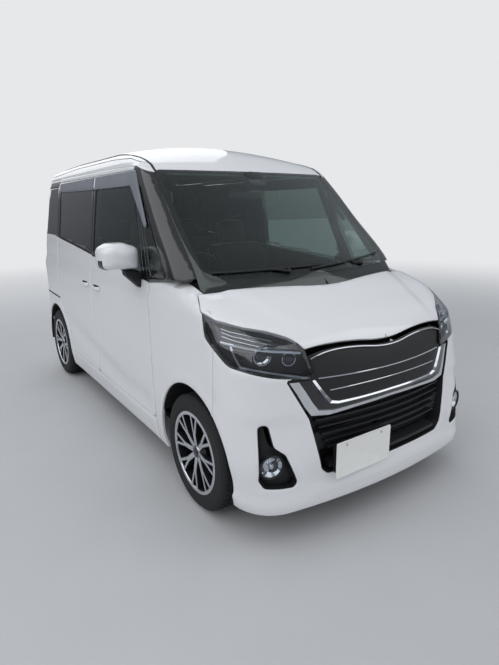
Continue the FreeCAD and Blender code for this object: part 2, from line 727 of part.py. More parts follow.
def side_structure():
    """The right body side: sill, pillars, rear quarter and roof rail, with its openings cut."""
    wall = CABIN_SHELL.common(box(TAIL_X - 20, NOSE_X, -900, -420, SILL_Z - 10, 1700))
    ahead = box(DOOR_FRONT_X, NOSE_X, -900, 0, 100, 1400).cut(above_fender(0))
    wall = wall.cut(ahead)
    tools = [
        roof_prism(-SEAM),
        prism_x(screen_points(-SEAM), FRONT_PANEL_X, NOSE_X),
        prism_y(front_door_points(0), SIDE_OUT, SIDE_IN),
        prism_y(slide_door_points(0), SIDE_OUT, SIDE_IN),
        prism_y(rear_window_points(0), SIDE_OUT, SIDE_IN),
        prism_y(quarter_window_points(0), SIDE_OUT, SIDE_IN),
        tailgate_region(-DOOR_GAP),
        tail_lamp_prism(-SEAM),
        rear_bumper_prism(-SEAM),
        ARCH_REAR,
    ]
    return fuse([cut(wall, tools), hinge_pillar()] + door_hinge_ears())


def front_door():
    """The right front door with its window cut, its hinge pockets and its lugs."""
    panel = CABIN_SHELL.common(prism_y(front_door_points(DOOR_GAP), SIDE_OUT, SIDE_IN))
    panel = panel.cut(prism_y(front_window_points(0), SIDE_OUT, SIDE_IN))
    pockets = []
    lugs = []
    bores = []
    for z in DOOR_HINGE_ZS:
        half = LUG_HALF + EAR + 5
        pockets.append(box(DOOR_HINGE_X - 18, DOOR_FRONT_X + 10, -HALF_WIDTH + 7, -600, z - half, z + half))
        low, high = z - LUG_HALF, z + LUG_HALF
        end = (DOOR_HINGE_X, -DOOR_HINGE_Y, low)
        lugs.append(rod(end, (DOOR_HINGE_X, -DOOR_HINGE_Y, high), PIN_RADIUS + 5))
        lugs.append(box(DOOR_HINGE_X - 24, DOOR_HINGE_X, -DOOR_HINGE_Y - 6, -DOOR_HINGE_Y + 6, low, high))
        end = (DOOR_HINGE_X, -DOOR_HINGE_Y, low - 1)
        bores.append(rod(end, (DOOR_HINGE_X, -DOOR_HINGE_Y, high + 1), PIN_RADIUS + PIN_CLEARANCE))
    top = MIRROR_BASE_Z - SEAT_CLEARANCE
    foot = prism_x((
        (-704, MIRROR_ROOT_Z, 0), (-704, MIRROR_ROOT_Z + 34, 0),
        (-730, MIRROR_ROOT_Z + 34, 10), (-756, top, 0),
        (-802, top, 0), (-798, top - 14, 8), (-744, MIRROR_ROOT_Z, 20),
    ), MIRROR_PIVOT_X - 30, MIRROR_PIVOT_X + 30)
    end = (MIRROR_PIVOT_X, MIRROR_PIVOT_Y, top - 6)
    pin = rod(end, (MIRROR_PIVOT_X, MIRROR_PIVOT_Y, top + MIRROR_PIN_RISE), MIRROR_PIN_RADIUS)
    return cut(fuse([cut(panel, pockets)] + lugs), bores).fuse(foot).fuse(pin)


def mirror_housing():
    """The right door mirror's housing with its glass recess."""
    housing = prism_z((
        (MIRROR_PIVOT_X + 74, -752, 30), (MIRROR_PIVOT_X + 92, -830, 60), (MIRROR_PIVOT_X + 60, -925, 50),
        (MIRROR_PIVOT_X - 32, -934, 14), (MIRROR_PIVOT_X - 36, -752, 10),
    ), MIRROR_BASE_Z, MIRROR_TOP_Z)
    side = prism_x((
        (-750, MIRROR_BASE_Z, 8), (-750, MIRROR_TOP_Z - 14, 40),
        (-850, MIRROR_TOP_Z, 60), (-936, MIRROR_TOP_Z - 26, 40),
        (-936, MIRROR_BASE_Z + 16, 36), (-860, MIRROR_BASE_Z, 20),
    ), MIRROR_PIVOT_X - 60, MIRROR_PIVOT_X + 120)
    recess = prism_x((
        (-768, MIRROR_BASE_Z + 16, 10), (-768, MIRROR_TOP_Z - 28, 20), (-922, MIRROR_TOP_Z - 36, 24),
        (-922, MIRROR_BASE_Z + 28, 24),
    ), MIRROR_PIVOT_X - 60, MIRROR_PIVOT_X - 22)
    socket = rod(
        (MIRROR_PIVOT_X, MIRROR_PIVOT_Y, MIRROR_BASE_Z - 5),
        (MIRROR_PIVOT_X, MIRROR_PIVOT_Y, MIRROR_BASE_Z + MIRROR_PIN_RISE + 2),
        MIRROR_PIN_RADIUS + PIN_CLEARANCE,
    )
    return housing.common(side).cut(recess).cut(socket)


def front_bumper():
    """The front bumper cover, a thin moulding over the whole nose below the bonnet."""
    region = box(FENDER_SEAM_X + SEAM, NOSE_X + 50, -OUTER_Y, OUTER_Y, LOW_Z, MOUTH_TOP_Z)
    fog = prism_x(grown(FOG_POINTS, SEAM), NOSE_X - 300, NOSE_X + 60)
    lamp = lamp_prism(-SEAM)
    tools = [
        prism_x(mirrored(MOUTH_POINTS), MOUTH_BACK_X, NOSE_X + 60),
        fog, mirror(fog), lamp, mirror(lamp), ARCH_FRONT, mirror(ARCH_FRONT), bonnet_prism(-DOOR_GAP),
    ]
    return cut(NOSE_SHELL.common(region), tools)


def front_grille():
    """The black moulding behind the bumper's mouth, with its slats."""
    depth = SKIN + SEAT_CLEARANCE
    skin = nose_solid(depth, BONNET_WALL + 20).cut(nose_solid(depth + GRILLE_THICK, BONNET_WALL + 40))
    lap = 14
    side = [(y - lap, z, radius) for y, z, radius in MOUTH_POINTS[3:]]
    side[-1] = (side[-1][0], side[-1][1] - lap, side[-1][2])
    outline = [(-434, MOUTH_TOP_Z - 20, 0), (-434, 722, 0)] + side
    body = skin.common(prism_x(mirrored(outline), MOUTH_BACK_X, NOSE_X))
    tools = [box(MOUTH_BACK_X, NOSE_X + 10, -SLOT_HALF, SLOT_HALF, z, z + SLOT_HEIGHT) for z in LOWER_SLOTS]
    lamp = lamp_prism(-SEAM)
    tools += [lamp, mirror(lamp)]
    pad_front = NOSE_X - PLATE_STANDOFF - SEAT_CLEARANCE
    pad = box(NOSE_X - 50, pad_front, PLATE_Y - 60, PLATE_Y + 60, PLATE_Z - 30, PLATE_Z + 30)
    return cut(body, tools).fuse(pad)


def chrome_frame():
    """The bright V frame under the upper grille, with its wings beside the lamps."""
    upper = mirrored(CHROME_UPPER)
    lower = mirrored(CHROME_LOWER)
    band = NOSE.cut(nose_solid(SKIN, 0))
    return band.common(prism_x(upper + lower[::-1], MOUTH_BACK_X, NOSE_X + 60))


def fog_lamps():
    """Both fog recesses' bezels with their round lamps."""
    depth = SKIN + SEAT_CLEARANCE
    shell = nose_solid(depth, 40).cut(nose_solid(depth + 22, 60))
    bezel = shell.common(prism_x(grown(FOG_POINTS, 10), NOSE_X - 300, NOSE_X + 60))
    lens = Part.makeCylinder(FOG_LAMP_RADIUS, 60, V(NOSE_X - 140, -FOG_LAMP_Y, FOG_LAMP_Z), V(1, 0, 0))
    lens = lens.common(nose_solid(SKIN, 40))
    return both(bezel.fuse(lens))


def bonnet_sweep(radius):
    """The space round the hinge line which the bonnet's rear edge turns in."""
    start = (BONNET_HINGE_X, -BONNET_SWEEP_Y, BONNET_HINGE_Z)
    return rod(start, (BONNET_HINGE_X, BONNET_SWEEP_Y, BONNET_HINGE_Z), radius)


def fender():
    """The right front fender, from the door seam round the arch to the bumper seam."""
    low = box(DOOR_FRONT_X + DOOR_GAP, FENDER_SEAM_X, SIDE_OUT, SIDE_IN - 15, 180, HIGH_Z)
    high = box(FENDER_SEAM_X - 1, NOSE_X - 100, SIDE_OUT, SIDE_IN - 15, MOUTH_TOP_Z + SEAM, HIGH_Z)
    tools = [
        bonnet_prism(-DOOR_GAP), lamp_prism(-SEAM), ARCH_FRONT, above_fender(-SEAM),
        box(DOOR_FRONT_X - 10, NOSE_X - BONNET_REAR_MIDDLE, -COWL_HALF, 0, 900, 1300),
    ]
    skin = cut(NOSE_SHELL.common(low.fuse(high)), tools + [bonnet_sweep(BONNET_SWEEP)])
    root = (BONNET_HINGE_X, -BONNET_PIN_ROOT, BONNET_HINGE_Z)
    return skin.fuse(rod(root, (BONNET_HINGE_X, -BONNET_PIN_TIP, BONNET_HINGE_Z), BONNET_PIN))


def cowl():
    """The black panel between the bonnet and the windscreen's foot."""
    skin = nose_solid(SKIN, 10).cut(nose_solid(SKIN, 20))
    x_low, x_high = FIREWALL_X, NOSE_X - BONNET_REAR_MIDDLE + 60
    region = box(x_low, x_high, -COWL_HALF + SEAT_CLEARANCE, COWL_HALF - SEAT_CLEARANCE, 900, 1300)
    tools = [bonnet_prism(-DOOR_GAP), cabin_solid(-SEAT_CLEARANCE, 0).common(above_fender(-200)), CABIN]
    return cut(skin.common(region), tools + [bonnet_sweep(COWL_SWEEP)])


def bonnet():
    """The bonnet, skin and inner frame in one slab, bored for its hinge pins."""
    slab = NOSE_SHELL.common(bonnet_prism(0)).common(box(0, NOSE_X, -OUTER_Y, OUTER_Y, 826, 1300))
    bores = []
    for side in (-1, 1):
        start = (BONNET_HINGE_X, side * (BONNET_PIN_TIP - 1), BONNET_HINGE_Z)
        bores.append(rod(start, (BONNET_HINGE_X, side * 720, BONNET_HINGE_Z), BONNET_PIN + PIN_CLEARANCE))
    return cut(slab, bores)


def headlamp():
    """The right headlamp, a closed housing with the nose's form."""
    return NOSE.cut(nose_solid(LAMP_DEPTH, 60)).common(lamp_prism(0)).cut(bonnet_prism(-DOOR_GAP))


def roof_panel():
    """The roof with its rear edge notched for the tailgate's hinges."""
    tools = [prism_x(screen_points(-SEAM), FRONT_PANEL_X, NOSE_X), tailgate_region(-ROOF_GAP)]
    pins = []
    for side in (-1, 1):
        y = side * TAIL_HINGE_Y
        tools.append(box(TAIL_CUT_X - 10, TAIL_HINGE_X + 16, y - 15, y + 15, 1600, 1800))
        pins.append(rod((TAIL_HINGE_X, y - 22, TAIL_HINGE_Z), (TAIL_HINGE_X, y + 22, TAIL_HINGE_Z), TAIL_PIN))
    return fuse([cut(CABIN_SHELL.common(roof_prism(0)), tools)] + pins)


def tailgate():
    """The tailgate with its window cut and its hinge lugs."""
    window = prism_x(tail_window_points(0), TAIL_X - 60, TAIL_X + 300)
    shell = CABIN_SHELL.common(tailgate_region(0)).cut(window)
    lugs = []
    bores = []
    for side in (-1, 1):
        y = side * TAIL_HINGE_Y
        start = (TAIL_HINGE_X, y - 9, TAIL_HINGE_Z)
        lugs.append(rod(start, (TAIL_HINGE_X, y + 9, TAIL_HINGE_Z), TAIL_PIN + 4))
        lugs.append(box(TAIL_CUT_X - 12, TAIL_HINGE_X, y - 9, y + 9, TAIL_HINGE_Z - 7, TAIL_HINGE_Z + 2))
        start = (TAIL_HINGE_X, y - 12, TAIL_HINGE_Z)
        bores.append(rod(start, (TAIL_HINGE_X, y + 12, TAIL_HINGE_Z), TAIL_PIN + PIN_CLEARANCE))
    pad_rear = TAIL_X + REAR_PLATE_SINK + SEAT_CLEARANCE
    pad = box(pad_rear, TAIL_X + 40, -130, 130, REAR_PLATE_Z - 60, REAR_PLATE_Z + 60)
    return cut(fuse([shell, pad] + lugs), bores)


def ring(profile, centre):
    """A body turned about the Y axis through centre, from (radius, y, corner radius) points."""
    face = Part.Face(polygon(profile, lambda r, y: V(centre[0] + r, centre[1] + y, centre[2])))
    return face.revolve(V(*centre), V(0, 1, 0), 360)


def tyre(x):
    """The right-hand tyre at x, a turned section with rounded shoulders."""
    half = TYRE_WIDTH / 2
    return ring((
        (TYRE_SEAT_RADIUS, -half + 17, 0), (RIM_RADIUS + 1.5, -half + RIM_LIP + 1, 0),
        (RIM_RADIUS + 6, -half + 3, 4), (TYRE_RADIUS - 34, -half, 20),
        (TYRE_RADIUS - 3, -half + 26, 16), (TYRE_RADIUS, -half + 44, 60), (TYRE_RADIUS, half - 44, 60),
        (TYRE_RADIUS - 3, half - 26, 16), (TYRE_RADIUS - 34, half, 20), (RIM_RADIUS + 6, half - 3, 4),
        (RIM_RADIUS + 1.5, half - 12, 0), (TYRE_SEAT_RADIUS, half - 18, 0),
    ), (x, -TRACK_HALF, WHEEL_Z))


def rim(x):
    """The right-hand alloy wheel at x: a barrel, a hub with its bore and a pattern of tapered spokes."""
    half = TYRE_WIDTH / 2
    centre = (x, -TRACK_HALF, WHEEL_Z)
    seat = TYRE_SEAT_RADIUS - SEAT_CLEARANCE
    barrel = ring((
        (seat, -half + 16, 0), (seat, half - 16, 0),
        (RIM_RADIUS - 2, half - 11, 0), (RIM_RADIUS - 2, half - 5, 0),
        (seat - RIM_WALL - 3, half - 5, 0), (seat - RIM_WALL, half - 16, 0), (seat - RIM_WALL, -half + 30, 0),
        (seat - RIM_WALL, -half + 2, 0), (RIM_RADIUS, -half + 2, 0), (RIM_RADIUS, -half + RIM_LIP, 0),
    ), centre)
    bore = HUB_STUB_RADIUS + HUB_BORE_CLEARANCE
    hub = ring((
        (0, -half + 6, 0), (34, -half + 6, 8), (40, -half + 16, 0), (74, -half + 22, 6), (74, -half + 50, 6),
        (bore, -half + 50, 0), (bore, -half + 26, 0), (0, -half + 26, 0),
    ), centre)
    outline = (
        (30, -half + 20, 0), (96, -half + 9, 60), (seat - RIM_WALL + 3, -half + 4, 0),
        (seat - RIM_WALL + 3, -half + 24, 0), (100, -half + 40, 60), (30, -half + 48, 0),
    )
    spokes = []
    for i in range(SPOKE_COUNT):
        turn = SPOKE_PHASE + i * 360.0 / SPOKE_COUNT
        slab = Part.Face(polygon(outline, lambda r, y: V(r, y, 0))).extrude(V(0, 0, 44))
        slab.translate(V(0, 0, -22))
        plan = polygon(((24, -13, 0), (24, 13, 0), (seat, 19, 0), (seat, -19, 0)), lambda r, w: V(r, -100, w))
        spoke = slab.common(Part.Face(plan).extrude(V(0, 200, 0)))
        spoke.rotate(V(0, 0, 0), V(0, 1, 0), -turn)
        spoke.translate(V(*centre))
        spokes.append(spoke)
    void = Part.makeCylinder(bore, 60, V(x, -TRACK_HALF - half + 26, WHEEL_Z), V(0, 1, 0))
    return fuse([barrel, hub] + spokes).cut(void)


def knuckle():
    """The right front upright: hub stub, brake disc, ball joint socket and strut leg."""
    x = FRONT_AXLE_X
    face = -TRACK_HALF - TYRE_WIDTH / 2
    stub = rod((x, face + 26 + SEAT_CLEARANCE, WHEEL_Z), (x, -TRACK_HALF + 60, WHEEL_Z), HUB_STUB_RADIUS)
    disc = rod((x, face + 50 + SEAT_CLEARANCE, WHEEL_Z), (x, face + 64, WHEEL_Z), DISC_RADIUS)
    upright = box(x - 34, x + 34, -TRACK_HALF + 10, -TRACK_HALF + 62, WHEEL_Z - 65, WHEEL_Z + 110)
    caliper = box(x - 125, x - 75, face + 52, face + 100, WHEEL_Z - 50, WHEEL_Z + 50)
    bridge = box(x - 80, x - 30, face + 66, -TRACK_HALF + 40, WHEEL_Z - 30, WHEEL_Z + 30)
    ball = Part.makeSphere(BALL_RADIUS, V(x, -BALL_Y, BALL_Z))
    stalk = rod((x, -BALL_Y, BALL_Z), (x, -BALL_Y, WHEEL_Z - 50), 11)
    strut_low = -STRUT_TOP_Y - STRUT_OFFSET
    strut = rod((x, strut_low, WHEEL_Z + 60), (x, -STRUT_TOP_Y, STRUT_TOP_Z - 4), STRUT_RADIUS)
    ear = box(x - 30, x + 30, strut_low - 80, strut_low, WHEEL_Z + 60, WHEEL_Z + 108)
    slope = (BALL_Y - STRUT_TOP_Y) / (STRUT_TOP_Z - BALL_Z)
    cup_low = STRUT_TOP_Z - CUP_HEIGHT
    cup_foot = (x, -STRUT_TOP_Y - slope * CUP_HEIGHT, cup_low)
    cup = rod(cup_foot, (x, -STRUT_TOP_Y - slope * 10, STRUT_TOP_Z - 10), CUP_RADIUS)
    return fuse([stub, disc, upright, caliper, bridge, ball, stalk, strut, ear, cup])


def front_suspension():
    """The front subframe, lower arms and strut towers, which stay with the body."""
    x = FRONT_AXLE_X
    window = box(x - 120, x + 60, -240, 240, 200, 270)
    pieces = [box(x - 190, x + 120, -RAIL_Y, RAIL_Y, 205, 258).cut(window)]
    for side in (-1, 1):
        reach = side * (BALL_Y + 22)
        arm = prism_z((
            (x - 26, reach, 20), (x + 26, reach, 20), (x + 60, side * 320, 10), (x - 110, side * 320, 10),
        ), ARM_TOP_Z - 24, ARM_TOP_Z)
        y_low, y_high = sorted((side * 300, side * 330))
        web = box(x - 160, x + 50, y_low, y_high, ARM_TOP_Z - 24, 210)
        pieces += [arm, web]
        y_low, y_high = sorted((side * (RAIL_Y - 25), side * RAIL_Y))
        pieces.append(box(x - 190, x - 150, y_low, y_high, 250, RAIL_Z - SEAT_CLEARANCE))
        pieces.append(box(x + 80, x + 120, y_low, y_high, 250, RAIL_Z - SEAT_CLEARANCE))
    return fuse(pieces)


def strut_towers():
    """Both strut towers, which stand on the side members and hold the tops of the struts."""
    x = FRONT_AXLE_X
    top = prism_z((
        (x - 90, -408, 20), (x + 90, -408, 20),
        (x + 70, -STRUT_TOP_Y - 60, 30), (x - 70, -STRUT_TOP_Y - 60, 30),
    ), STRUT_TOP_Z + SEAT_CLEARANCE, STRUT_TOP_Z + 22)
    wall = box(x - 90, x + 90, -425, -400, RAIL_TOP - 10, STRUT_TOP_Z + 22)
    foot = box(x - 90, x + 90, -425, -RAIL_Y - RAIL_HALF - SEAT_CLEARANCE, RAIL_TOP - 10, RAIL_TOP + 14)
    return both(fuse([top, wall, foot]))


def rear_axle():
    """The rear torsion beam with its trailing arms, hub stubs, dampers and springs."""
    x = REAR_AXLE_X
    face = TRACK_HALF + TYRE_WIDTH / 2
    top = FLOOR_REAR_Z - SEAT_CLEARANCE
    pieces = [box(x + 120, x + 190, -510, 510, 250, 310)]
    for side in (-1, 1):
        y_low, y_high = sorted((side * 500, side * 535))
        pieces.append(box(x - 60, x + 420, y_low, y_high, 235, 300))
        stub_end = (x, side * (face - 26 - SEAT_CLEARANCE), WHEEL_Z)
        pieces.append(rod((x, side * 500, WHEEL_Z), stub_end, HUB_STUB_RADIUS))
        pieces.append(rod((x, side * 530, WHEEL_Z), (x, side * (face - 50 - SEAT_CLEARANCE), WHEEL_Z), 90))
        pieces.append(rod((x + 150, side * 430, 300), (x + 150, side * 430, top), 48))
        pieces.append(box(x + 360, x + 420, y_low, y_high, 290, FLOOR_Z - FLOOR_THICK + 8))
    return fuse(pieces)


def floor_pan():
    """The floor, firewall, side members and bumper beams as one welded structure."""
    low = FLOOR_Z - FLOOR_THICK
    plate = box(FLOOR_STEP_X, FIREWALL_X, -OUTER_Y, OUTER_Y, low, FLOOR_Z)
    riser = box(FLOOR_STEP_X - 30, FLOOR_STEP_X, -OUTER_Y, OUTER_Y, low, FLOOR_REAR_Z + FLOOR_THICK)
    rear = box(TAIL_X + 90, FLOOR_STEP_X, -OUTER_Y, OUTER_Y, FLOOR_REAR_Z, FLOOR_REAR_Z + FLOOR_THICK)
    wall = box(FIREWALL_X - 30, FIREWALL_X, -OUTER_Y, OUTER_Y, low, FIREWALL_TOP)
    well = Part.makeCylinder(ARCH_RADIUS + 1, 300, V(REAR_AXLE_X, -WELL_INNER_Y - 300, WHEEL_Z), V(0, 1, 0))
    front_well = Part.makeCylinder(
        ARCH_RADIUS + 1, 300, V(FRONT_AXLE_X, -WELL_INNER_Y - 300, WHEEL_Z), V(0, 1, 0),
    )
    shell = fuse([plate, riser, rear, wall]).common(INNER_TRIM)
    foot = (DOOR_HINGE_X, -DOOR_HINGE_Y, SKIRT_TOP_Z)
    sweep = rod(foot, (DOOR_HINGE_X, -DOOR_HINGE_Y, FIREWALL_TOP + 10), DOOR_SWEEP)
    shell = cut(shell, [well, mirror(well), front_well, mirror(front_well), sweep, mirror(sweep)])
    rails = []
    for side in (-1, 1):
        y_low, y_high = sorted((side * (RAIL_Y - RAIL_HALF), side * (RAIL_Y + RAIL_HALF)))
        rails.append(box(FIREWALL_X - 5, NOSE_X - 120, y_low, y_high, RAIL_Z, RAIL_TOP))
    beam = prism_z((
        (NOSE_X - 122, -470, 0), (NOSE_X - 122, 470, 0), (NOSE_X - 80, 430, 60), (NOSE_X - 80, -430, 60),
    ), RAIL_Z - 5, RAIL_TOP + 5)
    bracket = box(NOSE_X - 124, NOSE_X - 60, -40, 40, 420, 450).common(nose_solid(SKIN + 27, 100))
    return fuse([shell] + rails + [beam, bracket])


def arch_liners():
    """The four black wheel arch liners."""
    outer = ARCH_RADIUS + 1 + LINER
    front = Part.makeCylinder(outer, 330, V(FRONT_AXLE_X, -760, WHEEL_Z), V(0, 1, 0))
    front = front.cut(Part.makeCylinder(outer - LINER, 340, V(FRONT_AXLE_X, -765, WHEEL_Z), V(0, 1, 0)))
    upper = box(FRONT_AXLE_X - 400, FRONT_AXLE_X + 400, -800, -430, 240, 800)
    post = box(DOOR_FRONT_X - 10, DOOR_FRONT_X + POST_DEPTH + 4, -OUTER_Y, -POST_INNER_Y, LOW_Z, STRUT_TOP_Z)
    strut_hole = rod((FRONT_AXLE_X, -540, 500), (FRONT_AXLE_X, -540, 700), 78)
    front = front.common(upper).common(nose_solid(SKIN + SEAT_CLEARANCE, 100))
    front = cut(front, [post, strut_hole, box(FIREWALL_X - 35, FIREWALL_X + 1, -800, 0, 200, 900)])
    rear_outer = ARCH_RADIUS - SEAT_CLEARANCE
    rear = Part.makeCylinder(rear_outer, 190, V(REAR_AXLE_X, -WELL_INNER_Y - 190, WHEEL_Z), V(0, 1, 0))
    end = V(REAR_AXLE_X, -WELL_INNER_Y - 195, WHEEL_Z)
    bore = Part.makeCylinder(rear_outer - LINER, 200, end, V(0, 1, 0))
    rear = rear.cut(bore)
    rear = rear.common(box(REAR_AXLE_X - 400, REAR_AXLE_X + 400, -800, -500, 250, 800))
    inner = Part.makeCylinder(rear_outer, LINER, V(REAR_AXLE_X, -WELL_INNER_Y - LINER, WHEEL_Z), V(0, 1, 0))
    inner = inner.common(box(REAR_AXLE_X - 400, REAR_AXLE_X + 400, -800, -500, FLOOR_REAR_Z - 40, 800))
    return front, fuse([rear, inner])


def dashboard():
    """The dashboard with the steering column's end."""
    seat_z = FIREWALL_TOP + SEAT_CLEARANCE
    seat_x = FIREWALL_X - FLOOR_THICK - SEAT_CLEARANCE
    body = prism_y((
        (FIREWALL_X - 230, DASH_BOTTOM_Z, 60), (FIREWALL_X - 240, 930, 60), (FIREWALL_X - 130, 1004, 80),
        (FIREWALL_X + 200, 1012, 40), (FIREWALL_X + 330, seat_z, 0),
        (seat_x, seat_z, 0), (seat_x, DASH_BOTTOM_Z, 0),
    ), -DASH_HALF, DASH_HALF).common(INNER_TRIM)
    a = math.radians(STEERING_RAKE)
    start = STEERING_HUB_HALF + SEAT_CLEARANCE
    near = (STEERING_WHEEL_X + math.cos(a) * start, DRIVER_Y, STEERING_WHEEL_Z - math.sin(a) * start)
    reach = COLUMN_LENGTH
    far = (STEERING_WHEEL_X + math.cos(a) * reach, DRIVER_Y, STEERING_WHEEL_Z - math.sin(a) * reach)
    return body.fuse(rod(near, far, COLUMN_RADIUS))


def steering_wheel():
    """The steering wheel: a round grip, a hub and three flat spokes, on its raked column."""
    torus = Part.makeTorus(STEERING_WHEEL_RADIUS - STEERING_GRIP_RADIUS, STEERING_GRIP_RADIUS)
    hub = Part.makeCylinder(52, STEERING_HUB_HALF * 2, V(0, 0, -STEERING_HUB_HALF))
    spokes = []
    for turn in (0, 180, 270):
        spoke = box(40, STEERING_WHEEL_RADIUS - STEERING_GRIP_RADIUS, -16, 16, -6, 6)
        spoke.rotate(V(0, 0, 0), V(0, 0, 1), turn)
        spokes.append(spoke)
    wheel = fuse([torus, hub] + spokes)
    wheel.rotate(V(0, 0, 0), V(0, 0, 1), 90)
    wheel.rotate(V(0, 0, 0), V(0, 1, 0), STEERING_RAKE - 90)
    wheel.translate(V(STEERING_WHEEL_X, DRIVER_Y, STEERING_WHEEL_Z))
    return wheel


def seat(x, y, half, base_z):
    """One seat at x: its base, cushion and reclined back, with a headrest."""
    body = prism_y((
        (x, base_z, 0), (x + 20, base_z + 130, 40), (x - 30, base_z + 220, 20), (x + 480, base_z + 250, 60),
        (x + 520, base_z + 130, 60), (x + 430, base_z, 0),
    ), y - half, y + half)
    back = prism_y((
        (x + 30, base_z + 120, 40), (x - 160, base_z + 790, 40),
        (x - 60, base_z + 800, 40), (x + 130, base_z + 240, 40),
    ), y - half, y + half)
    rest_half = half * 0.45
    rest = prism_y((
        (x - 150, base_z + 780, 0), (x - 200, base_z + 970, 30),
        (x - 110, base_z + 980, 30), (x - 70, base_z + 780, 0),
    ), y - rest_half, y + rest_half)
    return fuse([body, back, rest])


def exhaust():
    """The exhaust pipe and silencer, hung from the floor."""
    pieces = [rod(start, end, EXHAUST_RADIUS) for start, end in zip(EXHAUST_RUN, EXHAUST_RUN[1:])]
    for x, y, z in EXHAUST_RUN[1:-1]:
        pieces.append(Part.makeSphere(EXHAUST_RADIUS, V(x, y, z)))
    x = REAR_AXLE_X - 180
    pieces.append(rod((x, 60, SILENCER_Z), (x, 420, SILENCER_Z), SILENCER_RADIUS))
    pieces.append(rod((x, 380, SILENCER_Z - 40), (TAIL_X + 85, 400, 240), EXHAUST_RADIUS - 2))
    pieces.append(box(x - 10, x + 10, 200, 260, SILENCER_Z + 70, FLOOR_REAR_Z - SEAT_CLEARANCE))
    pieces.append(box(-200, -180, 110, 130, 270, FLOOR_Z - FLOOR_THICK - SEAT_CLEARANCE))
    return fuse(pieces)


def fuel_tank():
    """The flat fuel tank under the floor."""
    return prism_z((
        (-700, -420, 60), (-180, -420, 60), (-180, 40, 60), (-700, 40, 60),
    ), 172, FLOOR_Z - FLOOR_THICK - SEAT_CLEARANCE)


def plate(x_back, y, z, forward):
    """A blank number plate with its two fixing holes, facing forward or backward."""
    x0, x1 = sorted((x_back, x_back + forward * PLATE_THICK))
    sheet = prism_x((
        (y - PLATE_LENGTH / 2, z - PLATE_HEIGHT / 2, 8), (y + PLATE_LENGTH / 2, z - PLATE_HEIGHT / 2, 8),
        (y + PLATE_LENGTH / 2, z + PLATE_HEIGHT / 2, 8), (y - PLATE_LENGTH / 2, z + PLATE_HEIGHT / 2, 8),
    ), x0, x1)
    holes = []
    for side in (-1, 1):
        centre = V(x0 - 5, y + side * PLATE_HOLE_SPACING / 2, z + PLATE_HEIGHT / 2 - PLATE_HOLE_DROP)
        holes.append(Part.makeCylinder(PLATE_HOLE_RADIUS, 12, centre, V(1, 0, 0)))
    return cut(sheet, holes)


def screen_point(y, z, out):
    """A point out ahead of the windscreen's skin, by interpolating the cabin's rows."""
    for low, high in zip(CABIN_ROWS, CABIN_ROWS[1:]):
        if low[0] <= z <= high[0]:
            share = (z - low[0]) / (high[0] - low[0])
            xs = [row[1] - row[2] + math.sqrt(row[2] ** 2 - y ** 2) for row in (low, high)]
            return (xs[0] + (xs[1] - xs[0]) * share + out, y, z)
    raise ValueError("z is off the windscreen")


# Wipers: pivot y, blade's inner and outer y, heights of pivot and blade ends
WIPER_ROWS = (
    (330.0, -60.0, 560.0, 1094.0, 1096.0, 1128.0),
    (-190.0, -560.0, 20.0, 1094.0, 1102.0, 1110.0),
)


def wipers():
    """Both windscreen wipers, parked along the foot of the screen."""
    pieces = []
    for pivot_y, inner_y, outer_y, pivot_z, inner_z, outer_z in WIPER_ROWS:
        mid_y = (inner_y + outer_y) / 2
        mid_z = (inner_z + outer_z) / 2
        pivot = rod(screen_point(pivot_y, pivot_z, 2), screen_point(pivot_y, pivot_z, 15), 8)
        arm = rod(screen_point(pivot_y, pivot_z, 13), screen_point(mid_y, mid_z, 15), 4.5)
        blade = rod(screen_point(inner_y, inner_z, 9), screen_point(mid_y, mid_z, 12), 4.5)
        blade_out = rod(screen_point(mid_y, mid_z, 12), screen_point(outer_y, outer_z, 9), 4.5)
        pieces.append(fuse([pivot, arm, blade, blade_out]).cut(CABIN))
    return Part.makeCompound([solid for piece in pieces for solid in piece.Solids])


def antenna():
    """The short folded whip on the roof."""
    x = ANTENNA_X
    z = crown_height(ROOF_TOP, x, 0)
    base = prism_y((
        (x - 60, z - 8, 0), (x - 50, z + 22, 8), (x + 30, z + 18, 8), (x + 50, z - 8, 0),
    ), -ANTENNA_HALF, ANTENNA_HALF)
    whip = rod((x - 40, 0, z + 16), (x + 150, 0, z + 50), 4)
    return fuse([base, whip]).cut(cabin_solid(0, -SEAT_CLEARANCE))


def keep_front():
    """Write the pieces of the nose."""
    keep("front_bumper", front_bumper())
    keep("front_grille", front_grille())
    keep("chrome_frame", chrome_frame())
    keep("fog_lamps", fog_lamps())
    pair("fender", fender())
    pair("headlamp", headlamp())
    keep("bonnet", bonnet())
    keep("cowl", cowl())
    keep("plate_front", plate(NOSE_X - PLATE_STANDOFF, PLATE_Y, PLATE_Z, 1))


